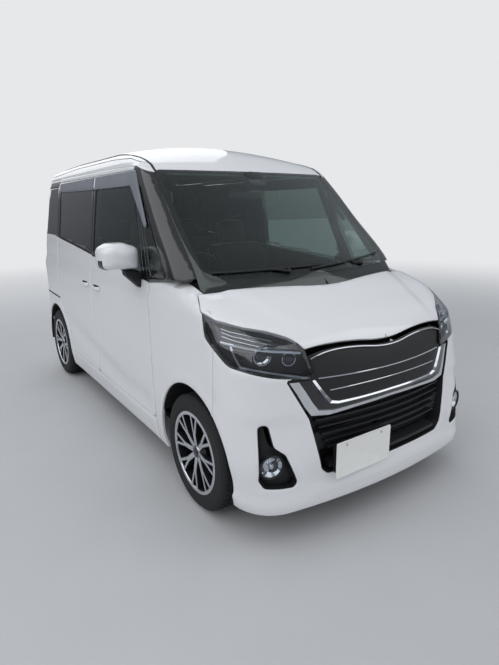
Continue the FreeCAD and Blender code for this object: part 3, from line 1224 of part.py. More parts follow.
def keep_cabin():
    """Write the body sides, roof, screens, doors and tailgate."""
    pair("body_side", side_structure())
    keep("roof_panel", roof_panel())
    keep("windscreen", CABIN_SKIN.common(prism_x(screen_points(0), FRONT_PANEL_X + 60, NOSE_X)))
    pair("front_door", front_door())
    slide = CABIN_SHELL.common(prism_y(slide_door_points(SEAM), SIDE_OUT, SIDE_IN)).cut(ARCH_REAR)
    pair("slide_door", slide.cut(prism_y(slide_window_points(0), SIDE_OUT, SIDE_IN)))
    pair("front_door_glass", CABIN_SKIN.common(prism_y(front_window_points(SEAM), SIDE_OUT, SIDE_IN)))
    glass = [
        CABIN_SKIN.common(prism_y(points(SEAM), SIDE_OUT, SIDE_IN))
        for points in (rear_window_points, quarter_window_points)
    ]
    pair("slide_door_glass", CABIN_SKIN.common(prism_y(slide_window_points(SEAM), SIDE_OUT, SIDE_IN)))
    pair("fixed_glass", Part.makeCompound([solid for piece in glass for solid in piece.Solids]))
    keep("tailgate", tailgate())
    keep("tailgate_glass", CABIN_SKIN.common(prism_x(tail_window_points(SEAM), TAIL_X - 60, TAIL_X + 200)))
    keep("plate_rear", plate(TAIL_X + REAR_PLATE_SINK, 0, REAR_PLATE_Z, -1))
    rear_tools = [ARCH_REAR, mirror(ARCH_REAR), tailgate_region(-DOOR_GAP)]
    keep("rear_bumper", cut(CABIN_SHELL.common(rear_bumper_prism(0)), rear_tools))
    keep("tail_lamps", both(CABIN_SHELL.common(tail_lamp_prism(0))))
    pair("mirror", mirror_housing())
    keep("wipers", wipers())
    keep("antenna", antenna())


def keep_chassis():
    """Write the floor, axles, engine and the wheels."""
    keep("floor_pan", floor_pan())
    keep("front_suspension", front_suspension())
    keep("strut_towers", strut_towers())
    keep("rear_axle", rear_axle())
    engine_half = RAIL_Y - RAIL_HALF - SEAT_CLEARANCE
    keep("engine_block", box(FRONT_AXLE_X - 150, FRONT_AXLE_X + 250, -engine_half, engine_half, 262, 740))
    keep("exhaust", exhaust())
    keep("fuel_tank", fuel_tank())
    front_liner, rear_liner = arch_liners()
    keep("arch_liners", Part.makeCompound(both(front_liner).Solids + both(rear_liner).Solids))
    pair("knuckle", knuckle())
    for place, x in (("front", FRONT_AXLE_X), ("rear", REAR_AXLE_X)):
        pair("tyre_" + place, tyre(x))
        pair("rim_" + place, rim(x))


def keep_interior():
    """Write what shows through the glass."""
    keep("dashboard", dashboard())
    keep("steering_wheel", steering_wheel())
    keep("front_seats", both(seat(-60, DRIVER_Y, 240, FLOOR_Z + SEAT_CLEARANCE)))
    keep("rear_bench", seat(-790, 0, 590, FLOOR_Z + SEAT_CLEARANCE))


keep_front()
keep_cabin()
keep_chassis()
keep_interior()
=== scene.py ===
"""Dresses a tall kei-class wagon: painted panels, glass, lamps, grille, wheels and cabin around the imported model."""
import json
import logging
import math
from dataclasses import dataclass, field
from enum import Enum
from typing import Callable, Iterable, Optional, Sequence

import bpy
import numpy as np
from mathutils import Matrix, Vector
from mathutils.geometry import delaunay_2d_cdt

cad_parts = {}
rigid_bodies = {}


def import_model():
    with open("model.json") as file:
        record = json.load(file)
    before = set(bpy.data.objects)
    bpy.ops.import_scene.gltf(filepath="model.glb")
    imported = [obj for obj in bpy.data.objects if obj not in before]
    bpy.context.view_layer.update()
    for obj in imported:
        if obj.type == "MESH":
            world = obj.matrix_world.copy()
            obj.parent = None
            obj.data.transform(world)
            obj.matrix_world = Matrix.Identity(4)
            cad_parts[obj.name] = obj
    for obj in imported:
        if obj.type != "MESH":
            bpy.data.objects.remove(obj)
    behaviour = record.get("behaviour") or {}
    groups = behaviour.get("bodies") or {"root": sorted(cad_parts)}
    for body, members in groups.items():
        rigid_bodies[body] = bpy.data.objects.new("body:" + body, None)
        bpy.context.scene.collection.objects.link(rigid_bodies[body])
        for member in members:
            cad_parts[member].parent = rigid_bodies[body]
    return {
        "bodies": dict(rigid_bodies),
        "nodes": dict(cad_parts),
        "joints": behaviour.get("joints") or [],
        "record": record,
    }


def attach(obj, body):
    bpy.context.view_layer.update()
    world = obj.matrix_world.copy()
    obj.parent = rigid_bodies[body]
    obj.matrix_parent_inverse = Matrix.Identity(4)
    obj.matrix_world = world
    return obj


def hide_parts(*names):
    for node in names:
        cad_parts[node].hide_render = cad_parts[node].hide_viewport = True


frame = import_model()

LOG = logging.getLogger("kei_wagon")
MM = 0.001
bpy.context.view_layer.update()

# The same main sizes as the solids, in millimetres
NOSE_X = 1695.5
TAIL_X = -1695.5
HALF_WIDTH = 737.5
FRONT_AXLE_X = 1137.5
REAR_AXLE_X = -1292.5
WHEEL_Z = 281.0
TRACK_HALF = 650.0
ARCH_RADIUS = 336.0
DOOR_FRONT_X = 705.5
DOOR_SPLIT_X = -244.5
SLIDE_REAR_X = -1129.5
FENDER_SEAM_X = 1349.5
SILL_TOP_Z = 298.0
GUTTER_Z = 1622.0
DOOR_TOP_Z = 1596.0
WINDOW_TOP_Z = 1560.0
BELT_FRONT_Z = 1040.0
BELT_REAR_Z = 1195.0
ROOF_HEIGHT = 1775.0
CROWN_HALF = 600.0

Points = np.ndarray


class SmoothTable:
    """A smooth curve through the rows of a table, which never swings past a row."""

    def __init__(self, rows: Sequence[Sequence[float]]) -> None:
        """Prepare the slopes.

        Args:
            rows: The key followed by its values, in any order of keys.
        """
        table = np.array(sorted(rows), dtype=float)
        self.keys = table[:, 0]
        self.values = table[:, 1:]
        step = np.diff(self.keys)[:, None]
        rise = np.diff(self.values, axis=0) / step
        slope = np.zeros_like(self.values)
        before, after = rise[:-1], rise[1:]
        same = before * after > 0
        total = np.where(same, before + after, 1.0)
        slope[1:-1] = np.where(same, 2 * before * after / total, 0.0)
        slope[0], slope[-1] = rise[0], rise[-1]
        self.slope = slope

    def at(self, where: Points) -> Points:
        """Read the table.

        Args:
            where: Keys.

        Returns:
            One row of values for each key.
        """
        where = np.clip(where, self.keys[0], self.keys[-1])
        i = np.clip(np.searchsorted(self.keys, where) - 1, 0, len(self.keys) - 2)
        width = self.keys[i + 1] - self.keys[i]
        t = ((where - self.keys[i]) / width)[:, None]
        width = width[:, None]
        a, b = self.values[i], self.values[i + 1]
        low, high = self.slope[i] * width, self.slope[i + 1] * width
        return (
            a * (2 * t**3 - 3 * t**2 + 1) + low * (t**3 - 2 * t**2 + t) + b * (3 * t**2 - 2 * t**3) + high * (t**3 - t**2)
        )


def smooth_max(a: Points, b: Points, width: float) -> Points:
    """The larger of two fields, with their edge rounded over width."""
    share = np.clip(0.5 + 0.5 * (a - b) / width, 0, 1)
    return b + (a - b) * share + width * share * (1 - share)


def smooth_step(value: Points, low: float, high: float) -> Points:
    """Rise smoothly from 0 at low to 1 at high."""
    t = np.clip((value - low) / (high - low), 0, 1)
    return t * t * (3 - 2 * t)


def end_gap(x: Points, y: Points, tip: Points, plan: Points, half: Points, corner: Points) -> Points:
    """Distance outside one rounded end of a plan outline.

    Args:
        x: Distance forward, so that the end points to larger x.
        y: Distance from the middle, never negative.
        tip: Where the end's arc crosses the middle.
        plan: The end arc's radius.
        half: Half the width at the side.
        corner: The corner's radius.

    Returns:
        The signed distance, positive outside.
    """
    cx = tip - plan + np.sqrt((plan - corner) ** 2 - (half - corner) ** 2)
    cy = half - corner
    bx = tip - plan
    split = np.arctan2(cy, cx - bx)
    turn = np.arctan2(y - cy, x - cx)
    on_end = np.hypot(np.maximum(x - bx, 0), y) - plan
    on_corner = np.hypot(x - cx, y - cy) - corner
    on_side = y - half
    return np.where(turn < split, on_end, np.where(turn > math.pi / 2, on_side, on_corner))


class Skin:
    """A closed outer surface, as a field that is positive outside it."""

    rounding = 30.0

    def walls(self, p: Points) -> Points:
        """Distance outside the plan outline at each point's height."""
        raise NotImplementedError

    def top(self, p: Points) -> Points:
        """Distance above the crowned top."""
        raise NotImplementedError

    def relief(self, p: Points) -> Points:
        """Creases and flares, positive where the surface is pushed in."""
        return np.zeros(len(p))

    def gap(self, p: Points) -> Points:
        """Signed distance outside the finished surface."""
        return smooth_max(self.walls(p), self.top(p), self.rounding) + self.relief(p)

    def normals(self, p: Points) -> Points:
        """Outward unit normals at points on the surface."""
        step = 0.5
        grad = np.stack([self.gap(p + d) - self.gap(p - d) for d in np.eye(3) * step], axis=1)
        return grad / np.maximum(np.linalg.norm(grad, axis=1, keepdims=True), 1e-9)

    def settle(self, p: Points, depth: float = 0.0) -> Points:
        """Move nearby points along their normals to a given depth under the surface."""
        for _ in range(3):
            p = p - self.normals(p) * (self.gap(p) + depth)[:, None]
        return p


class Nose(Skin):
    """The bonnet, fenders and bumper, from the same rows as the solids."""

    rounding = 46.0
    plan_rows = SmoothTable((
        (165.0, 9.0, 3200.0, 30.0, 185.0, 27.0), (262.0, 2.0, 3000.0, 9.5, 200.0, 12.5),
        (420.0, 9.0, 2500.0, 2.5, 210.0, 5.7), (560.0, 18.0, 2100.0, 0.5, 220.0, 3.6),
        (700.0, 31.0, 1850.0, 1.0, 240.0, 2.1), (838.0, 63.0, 1850.0, 2.5, 268.0, 0.9),
        (940.0, 130.0, 1850.0, 8.0, 310.0, 0.0), (1042.0, 240.0, 1850.0, 30.0, 330.0, 13.6),
        (1130.0, 330.0, 1850.0, 52.0, 340.0, 25.3),
    ))
    crown_rows = SmoothTable([(NOSE_X - back, middle, fall) for back, middle, fall in (
        (-20.0, 770.0, 60.0), (62.0, 842.0, 40.0), (98.0, 874.0, 24.0), (170.0, 917.0, 20.0), (296.0, 968.0, 22.0),
        (474.0, 1038.0, 26.0), (720.0, 1108.0, 34.0), (1000.0, 1160.0, 40.0),
    )])

    def walls(self, p: Points) -> Points:
        """Distance outside the nose's plan outline."""
        row = self.plan_rows.at(p[:, 2])
        y = np.abs(p[:, 1])
        tip = NOSE_X - row[:, 0]
        half = HALF_WIDTH - row[:, 2]
        corner_x = tip - row[:, 1] + np.sqrt((row[:, 1] - row[:, 3]) ** 2 - (half - row[:, 3]) ** 2)
        along = np.clip((corner_x - p[:, 0]) / (corner_x - DOOR_FRONT_X), 0, 1)
        taper = (row[:, 4] - row[:, 2]) * along
        return end_gap(p[:, 0], y + taper, tip, row[:, 1], half, row[:, 3])

    def top(self, p: Points) -> Points:
        """Distance above the bonnet's crown."""
        row = self.crown_rows.at(p[:, 0])
        return (p[:, 2] - row[:, 0] + row[:, 1] * (p[:, 1] / CROWN_HALF) ** 2) * 0.94

    def relief(self, p: Points) -> Points:
        """The bonnet's raised middle, the arch flare, the door crease and the bumper's ledge."""
        x, y, z = p[:, 0], np.abs(p[:, 1]), p[:, 2]
        edge = 560.0 - (x - 1120.0) * 0.42
        raised = 7.0 * smooth_step(y, edge - 26.0, edge + 26.0) * smooth_step(z, 850.0, 900.0)
        raised = raised * smooth_step(-x, -1640.0, -1500.0) * (1 - smooth_step(y, 640.0, 700.0))
        return raised + side_relief(p) + bumper_relief(p)


def side_relief(p: Points) -> Points:
    """Flares round the wheel arches and the creases along the doors, positive inward."""
    x, y, z = p[:, 0], np.abs(p[:, 1]), p[:, 2]
    on_side = smooth_step(y, 640.0, 700.0)
    push = np.zeros(len(p))
    for axle in (FRONT_AXLE_X, REAR_AXLE_X):
        radius = np.hypot(x - axle, z - WHEEL_Z)
        push -= 5.0 * (1 - smooth_step(radius, ARCH_RADIUS + 12.0, ARCH_RADIUS + 70.0)) * smooth_step(z, 120.0, 240.0)
    rise = 700.0 - (x - 700.0) * 0.02
    crease = 452.0 + np.clip(300.0 - x, 0, 1400.0) * 0.13
    below = np.clip((crease - z) / 70.0, 0, 1)
    inside = smooth_step(x, -960.0, -700.0) * (1 - smooth_step(x, 560.0, 760.0))
    push += 9.0 * below * (1 - 0.7 * smooth_step(crease - z, 90.0, 200.0)) * inside
    shoulder = 946.0 - (x - 700.0) * 0.0
    push += 6.0 * smooth_step(z, shoulder - 4.0, shoulder + 60.0) * (1 - smooth_step(z, 1010.0, 1120.0))
    push += 3.0 * smooth_step(z, 620.0, 800.0) * (1 - smooth_step(z, shoulder - 60.0, shoulder)) * (rise > 0)
    return push * on_side


def bumper_relief(p: Points) -> Points:
    """The ledge above the bumper's lip and the crease over the fog recesses, positive inward."""
    x, y, z = p[:, 0], np.abs(p[:, 1]), p[:, 2]
    front = smooth_step(x, 1380.0, 1480.0)
    ledge = 232.0 + 26.0 * (1 - smooth_step(y, 200.0, 560.0))
    step = 9.0 * smooth_step(z, ledge - 3.0, ledge + 9.0) * (1 - smooth_step(z, ledge + 40.0, ledge + 150.0))
    crease = 560.0
    hollow = 6.0 * (1 - smooth_step(z, crease - 8.0, crease + 6.0)) * smooth_step(z, 330.0, 520.0)
    hollow = hollow * smooth_step(y, 430.0, 520.0) * (1 - smooth_step(y, 660.0, 735.0))
    return (step + hollow) * front


class Cabin(Skin):
    """The cabin from the tail to the windscreen, from the same rows as the solids."""

    rounding = 24.0
    plan_rows = SmoothTable((
        (165.0, 1281.0, 1450.0, 27.0, 110.0, 22.0), (312.0, 1281.0, 1450.0, 7.0, 110.0, 3.8),
        (600.0, 1281.0, 1450.0, 3.0, 110.0, 2.0), (940.0, 1281.0, 1450.0, 0.0, 110.0, 16.0),
        (1060.0, 1211.0, 1480.0, 16.0, 105.0, 26.0), (1330.0, 892.0, 1950.0, 52.0, 95.0, 58.0),
        (1600.0, 576.0, 2950.0, 96.0, 85.0, 104.0), (1680.0, 482.0, 3100.0, 132.0, 80.0, 124.0),
        (1725.0, 430.0, 3200.0, 182.0, 75.0, 150.0), (1800.0, 340.0, 3200.0, 330.0, 70.0, 200.0),
    ))
    crown_rows = SmoothTable([(x, ROOF_HEIGHT - fall, crown) for x, fall, crown in (
        (1340.0, 560.0, 30.0), (760.0, 255.0, 30.0), (562.0, 166.0, 24.0), (380.0, 78.0, 44.0), (180.0, 26.0, 62.0),
        (-20.0, 2.0, 70.0), (-700.0, 2.0, 72.0), (-1250.0, 18.0, 72.0), (-1700.0, 46.0, 70.0),
    )])
    tail_plan = 4200.0
    tail_corner = 115.0

    def walls(self, p: Points) -> Points:
        """Distance outside the cabin's plan outline."""
        row = self.plan_rows.at(p[:, 2])
        y = np.abs(p[:, 1])
        half = HALF_WIDTH - row[:, 2]
        ahead = end_gap(p[:, 0], y, row[:, 0], row[:, 1], half, row[:, 3])
        plan = np.full(len(p), self.tail_plan)
        corner = np.full(len(p), self.tail_corner)
        behind = end_gap(-p[:, 0], y, -TAIL_X - row[:, 4], plan, half, corner)
        return np.maximum(ahead, behind)

    def top(self, p: Points) -> Points:
        """Distance above the roof's crown."""
        row = self.crown_rows.at(p[:, 0])
        return (p[:, 2] - row[:, 0] + row[:, 1] * (p[:, 1] / CROWN_HALF) ** 2) * 0.95

    def relief(self, p: Points) -> Points:
        """The creases shared with the doors, below the belt only."""
        return side_relief(p) * (1 - smooth_step(p[:, 2], 1120.0, 1180.0))


NOSE = Nose()
CABIN = Cabin()


class Way(Enum):
    """The direction a flat outline is carried in."""

    SIDE = "side"
    FRONT = "front"
    REAR = "rear"
    TOP = "top"
    LAMP = "lamp"
    ROUND = "round"
    BARREL = "barrel"
    ROLL = "roll"


@dataclass(frozen=True)
class View:
    """A flat drawing plane, or an unrolled one, and the rays that carry it onto a surface."""

    way: Way
    side: float = -1.0
    axis: float = 1000.0
    unroll: float = 700.0

    def flatten(self, p: Points) -> Points:
        """Drawing coordinates of points in space."""
        x, y, z = p[:, 0], p[:, 1], p[:, 2]
        if self.way is Way.SIDE:
            return np.stack([x, z], axis=1)
        if self.way in (Way.FRONT, Way.REAR):
            return np.stack([y, z], axis=1)
        if self.way is Way.TOP:
            return np.stack([x, y], axis=1)
        if self.way is Way.LAMP:
            return np.stack([x * 0.6 - self.side * y * 0.8, z], axis=1)
        if self.way is Way.ROUND:
            reach = x - self.axis if self.axis > 0 else self.axis - x
            return np.stack([np.arctan2(y, reach) * self.unroll, z], axis=1)
        if self.way is Way.ROLL:
            return np.stack([y, np.arctan2(z - self.axis, -self.axis - x) * self.unroll], axis=1)
        return np.stack([x, np.arctan2(y, z - self.axis) * self.unroll], axis=1)

    def rays(self, flat: Points) -> tuple[Points, Points, float]:
        """Rays that run inward through drawing points.

        Args:
            flat: Drawing coordinates.

        Returns:
            The rays' origins outside, their directions and the length to search.
        """
        a, b = flat[:, 0], flat[:, 1]
        one, none = np.ones(len(a)), np.zeros(len(a))
        if self.way is Way.SIDE:
            return np.stack([a, one * self.side * 900, b], 1), np.stack(
                [none, -one * self.side, none], 1
            ), 620.0
        if self.way is Way.FRONT:
            return np.stack([one * 1800, a, b], 1), np.stack([-one, none, none], 1), 1700.0
        if self.way is Way.REAR:
            return np.stack([-one * 1800, a, b], 1), np.stack([one, none, none], 1), 500.0
        if self.way is Way.TOP:
            return np.stack([a, b, one * 1900], 1), np.stack([none, none, -one], 1), 1200.0
        if self.way is Way.LAMP:
            away = 1700.0
            x = a * 0.6 + 0.8 * away
            y = self.side * (0.6 * away - a * 0.8)
            return np.stack([x, y, b], 1), np.stack([-one * 0.8, -one * self.side * 0.6, none], 1), 700.0
        turn = (a if self.way is Way.ROUND else b) / self.unroll
        if self.way is Way.ROUND:
            sign = 1.0 if self.axis > 0 else -1.0
            out = np.stack([np.cos(turn) * sign, np.sin(turn), none], 1)
            return np.stack([one * self.axis, none, b], 1) + out * 1100, -out, 900.0
        if self.way is Way.ROLL:
            out = np.stack([-np.cos(turn), none, np.sin(turn)], 1)
            return np.stack([-one * self.axis, a, one * self.axis], 1) + out * 1000, -out, 900.0
        out = np.stack([none, np.sin(turn), np.cos(turn)], 1)
        return np.stack([a, none, one * self.axis], 1) + out * 1000, -out, 900.0

    def lift(self, flat: Points, skin: Skin, depth: float = 0.0) -> tuple[Points, Points]:
        """Carry drawing points onto a surface.

        Args:
            flat: Drawing coordinates.
            skin: The surface.
            depth: How far under the surface to stop.

        Returns:
            Points in space, and which of them really met the surface.
        """
        start, along, reach = self.rays(flat)
        low, high = np.zeros(len(flat)), np.full(len(flat), reach)
        met = skin.gap(start + along * reach) + depth < 0
        for _ in range(26):
            mid = (low + high) / 2
            outside = skin.gap(start + along * mid[:, None]) + depth > 0
            low, high = np.where(outside, mid, low), np.where(outside, high, mid)
        return start + along * high[:, None], met


def rounded(points: Sequence[Sequence[float]], step: float = 12.0) -> Points:
    """A closed outline through corner points with radii.

    Args:
        points: (a, b, corner radius) for each corner.
        step: The longest distance between two points of the result.

    Returns:
        The outline's points, in order.
    """
    out: list[tuple[float, float]] = []
    count = len(points)
    for i, (a, b, radius) in enumerate(points):
        here = np.array((a, b), dtype=float)
        back = np.array(points[i - 1][:2], dtype=float) - here
        ahead = np.array(points[(i + 1) % count][:2], dtype=float) - here
        lb, la = np.linalg.norm(back), np.linalg.norm(ahead)
        back, ahead = back / lb, ahead / la
        half = math.acos(max(-0.999999, min(0.999999, float(back @ ahead)))) / 2
        if radius <= 0 or half > 1.56:
            out.append((a, b))
        else:
            reach = min(radius / math.tan(half), 0.49 * lb, 0.49 * la)
            bend = reach * math.tan(half)
            middle = back + ahead
            centre = here + middle / np.linalg.norm(middle) * reach / math.cos(half)
            start, end = here + back * reach, here + ahead * reach
            first = math.atan2(*(start - centre)[::-1])
            sweep = (math.atan2(*(end - centre)[::-1]) - first + math.pi) % (2 * math.pi) - math.pi
            pieces = max(3, int(abs(sweep) * bend / step) + 1, int(abs(sweep) / 0.28))
            for k in range(pieces + 1):
                turn = first + sweep * k / pieces
                out.append((centre[0] + bend * math.cos(turn), centre[1] + bend * math.sin(turn)))
    dense: list[tuple[float, float]] = []
    for i, point in enumerate(out):
        following = out[(i + 1) % len(out)]
        length = math.dist(point, following)
        pieces = max(1, math.ceil(length / step))
        for k in range(pieces):
            share = k / pieces
            dense.append((point[0] + (following[0] - point[0]) * share, point[1] + (following[1] - point[1]) * share))
    loop = np.array(dense)
    keep = np.linalg.norm(loop - np.roll(loop, 1, axis=0), axis=1) > 0.2
    return loop[keep]


def inside(loop: Points, flat: Points) -> Points:
    """Which drawing points lie inside a closed outline."""
    result = np.zeros(len(flat), dtype=bool)
    a, b = loop, np.roll(loop, -1, axis=0)
    for (x0, y0), (x1, y1) in zip(a, b):
        if y0 == y1:
            continue
        crosses = (y0 > flat[:, 1]) != (y1 > flat[:, 1])
        at = x0 + (flat[:, 1] - y0) * (x1 - x0) / (y1 - y0)
        result ^= crosses & (flat[:, 0] < at)
    return result


@dataclass
class Region:
    """A closed outline in a drawing plane, which cuts panels apart."""

    view: View
    loop: Points
    past: float = 0.0
    ahead: float = -9000.0
    behind: float = 9000.0

    @classmethod
    def of(
        cls, view: View, points: Sequence[Sequence[float]], step: float = 12.0, **limits: float
    ) -> "Region":
        """Round an outline's corners; the limits keep it to a part of the car."""
        return cls(view, rounded(points, step), **limits)

    def twin(self) -> "Region":
        """The same side outline carried from the car's left."""
        return Region(View(self.view.way, side=1.0), self.loop, self.past, self.ahead, self.behind)

    def contains(self, p: Points) -> Points:
        """Which points in space lie inside the outline, seen along its own view."""
        flat = self.view.flatten(p)
        hit = inside(self.loop, flat)
        if self.view.way is Way.LAMP:
            hit &= (p[:, 1] * self.view.side > 250) & (p[:, 0] > 900)
        return hit & (np.abs(p[:, 1]) > self.past) & (p[:, 0] > self.ahead) & (p[:, 0] < self.behind)


@dataclass
class Shell:
    """Loose mesh data in millimetres, with a material index for each face."""

    points: Points
    faces: list
    marks: list = field(default_factory=list)

    def joined(self, *others: "Shell") -> "Shell":
        """This shell and others as one."""
        points, faces, marks = [self.points], list(self.faces), list(self.marks)
        base = len(self.points)
        for other in others:
            points.append(other.points)
            faces += [tuple(i + base for i in f) for f in other.faces]
            marks += other.marks
            base += len(other.points)
        return Shell(np.concatenate(points), faces, marks)

    def mirrored(self) -> "Shell":
        """The same shell on the other side of the car."""
        return Shell(
            self.points * np.array((1.0, -1.0, 1.0)), [tuple(reversed(f)) for f in self.faces],
            list(self.marks)
        )


@dataclass
class Panel:
    """A pressed or moulded panel cut from a skin, with a rolled edge, a hem and a closed back.

    The cuts give the lines that it may end on, and keep says which side of them belongs to it.
    """

    skin: Skin
    view: View
    window: tuple[float, float, float, float]
    cuts: list[Region]
    keep: Callable[[Points], Points]
    depth: float = 18.0
    gap: float = 2.5
    roll: float = 3.0
    under: float = 0.0
    spacing: float = 26.0

    def drawing(self) -> tuple[Points, list[tuple[int, int]]]:
        """The drawing's points and the lines between them, before it is filled."""
        a0, a1, b0, b1 = self.window
        frame = rounded(((a0, b0, 0), (a1, b0, 0), (a1, b1, 0), (a0, b1, 0)), self.spacing)
        points, lines = [frame], []
        count = len(frame)
        lines += [(i, (i + 1) % count) for i in range(count)]
        for region in self.cuts:
            space, met = region.view.lift(region.loop, self.skin, self.under)
            flat = self.view.flatten(space)
            again, seen = self.view.lift(flat, self.skin, self.under)
            met &= seen & (np.linalg.norm(again - space, axis=1) < 8.0)
            met &= (flat[:, 0] > a0) & (flat[:, 0] < a1) & (flat[:, 1] > b0) & (flat[:, 1] < b1)
            base = count
            points.append(flat)
            count += len(flat)
            n = len(flat)
            lines += [(base + i, base + (i + 1) % n) for i in range(n) if met[i] and met[(i + 1) % n]]
            flat[~met] = (a0, b0)
        fixed = np.concatenate(points)
        columns = max(2, round((a1 - a0) / self.spacing))
        rows = max(2, round((b1 - b0) / self.spacing))
        grid = np.stack(
            np.meshgrid(np.linspace(a0, a1, columns + 1)[1:-1], np.linspace(b0, b1, rows + 1)[1:-1]), -1
        ).reshape(-1, 2)
        clear = np.ones(len(grid), dtype=bool)
        for chunk in np.array_split(fixed, max(1, len(fixed) // 200)):
            near = np.linalg.norm(grid[:, None] - chunk[None], axis=2).min(axis=1)
            clear &= near > self.spacing * 0.42
        return np.concatenate([fixed, grid[clear]]), lines

    def build(self, marks: tuple[int, int] = (0, 0)) -> Shell:
        """Fill, lift and thicken the panel.

        Args:
            marks: The material index of its face and hem, and that of its back.

        Returns:
            The closed panel.
        """
        drawn, lines = self.drawing()
        used = np.unique(drawn.round(3), axis=0, return_inverse=True)
        flat0, index = used[0], used[1].reshape(-1)
        lines = [(int(index[a]), int(index[b])) for a, b in lines if index[a] != index[b]]
        result = delaunay_2d_cdt([Vector(p) for p in flat0], lines, [], 0, 1e-4, False)
        flat = np.array([tuple(v) for v in result[0]])
        tris = np.array([f for f in result[2] if len(f) == 3])
        space, met = self.view.lift(flat, self.skin, self.under)
        good = met[tris].all(axis=1) & self.keep(space[tris].mean(axis=1))
        tris = tris[good]
        kept, tris = np.unique(tris, return_inverse=True)
        tris = tris.reshape(-1, 3)
        space = space[kept]
        normal = self.skin.normals(space)
        corner = space[tris]
        facing = np.cross(corner[:, 1] - corner[:, 0], corner[:, 2] - corner[:, 0])
        if (facing * normal[tris[:, 0]]).sum() < 0:
            tris = tris[:, ::-1]
        return self.thicken(space, normal, tris, marks)

    def thicken(self, space: Points, normal: Points, tris: Points, marks: tuple[int, int]) -> Shell:
        """Give a lifted sheet its rolled edge, hem and back."""
        following: dict[int, list[int]] = {}
        edges = set()
        for t in tris:
            for a, b in ((t[0], t[1]), (t[1], t[2]), (t[2], t[0])):
                edges.add((int(a), int(b)))
        rim = [(a, b) for a, b in edges if (b, a) not in edges]
        tangent = np.zeros_like(space)
        for a, b in rim:
            along = space[b] - space[a]
            along = along / max(np.linalg.norm(along), 1e-6)
            tangent[a] += along
            tangent[b] += along
            following.setdefault(a, []).append(b)
        border = np.array(sorted({v for e in rim for v in e}))
        t = tangent[border]
        length = np.linalg.norm(t, axis=1, keepdims=True)
        inward = np.cross(normal[border], t / np.maximum(length, 1e-6))
        stretch = np.clip(2.0 / np.maximum(length, 0.6), 1.0, 1.6)
        inward = inward * stretch
        n = normal[border]
        edge = space[border]
        lifted = space.copy()
        lifted[border] = edge + inward * (self.gap + self.roll)
        lifted[border] = self.skin.settle(lifted[border], self.under)
        bent = edge + inward * (self.gap + self.roll * 0.3) - n * self.roll * 0.28
        lip = edge + inward * self.gap - n * self.roll
        hem = lip - n * (self.depth - self.roll)
        back = space - normal * self.depth
        count, rows = len(space), len(border)
        place = {int(v): i for i, v in enumerate(border)}
        points = np.concatenate([lifted, bent, lip, hem, back])
        back[border] = hem
        points[count + 3 * rows:] = back
        faces = [tuple(int(i) for i in t) for t in tris]
        colours = [marks[0]] * len(faces)
        for a, b in rim:
            i, j = place[a], place[b]
            ring = [
                (a, b), (count + i, count + j), (count + rows + i, count + rows + j),
                (count + 2 * rows + i, count + 2 * rows + j)
            ]
            for (p, q), (r, s) in zip(ring, ring[1:]):
                faces.append((q, p, r, s))
                colours.append(marks[0])
        offset = count + 3 * rows

        def behind(v: int) -> int:
            """The back's vertex for one of the face's."""
            return count + 2 * rows + place[v] if v in place else offset + v

        for t in tris:
            faces.append(tuple(behind(int(v)) for v in t[::-1]))
            colours.append(marks[1])
        return Shell(points, faces, colours)


def paired(panel: Panel, marks: tuple[int, int] = (0, 0)) -> tuple[Shell, Shell]:
    """A right-hand panel and its mirror image."""
    right = panel.build(marks)
    return right, right.mirrored()


def linear(code: str) -> tuple[float, float, float, float]:
    """Turn an sRGB hex colour to linear values."""
    parts = [int(code[i:i + 2], 16) / 255 for i in (0, 2, 4)]
    r, g, b = (c / 12.92 if c <= 0.04045 else ((c + 0.055) / 1.055) ** 2.4 for c in parts)
    return (r, g, b, 1.0)


def add_node(
    tree: bpy.types.NodeTree, kind: str, settings: Optional[dict] = None, **inputs: object
) -> bpy.types.Node:
    """Add a node with its settings, and set or link its inputs.

    Args:
        tree: The node tree.
        kind: The node's type name.
        settings: Attributes of the node itself.
        inputs: Socket names, with spaces written as underscores, and a value or an output socket for each.

    Returns:
        The node.
    """
    node = tree.nodes.new(kind)
    for name, value in (settings or {}).items():
        setattr(node, name, value)
    for name, value in inputs.items():
        key = int(name[1:]) if name[0] == "i" and name[1:].isdigit() else name.replace("_", " ")
        socket = node.inputs[key]
        if isinstance(value, bpy.types.NodeSocket):
            tree.links.new(value, socket)
        else:
            socket.default_value = value
    return node


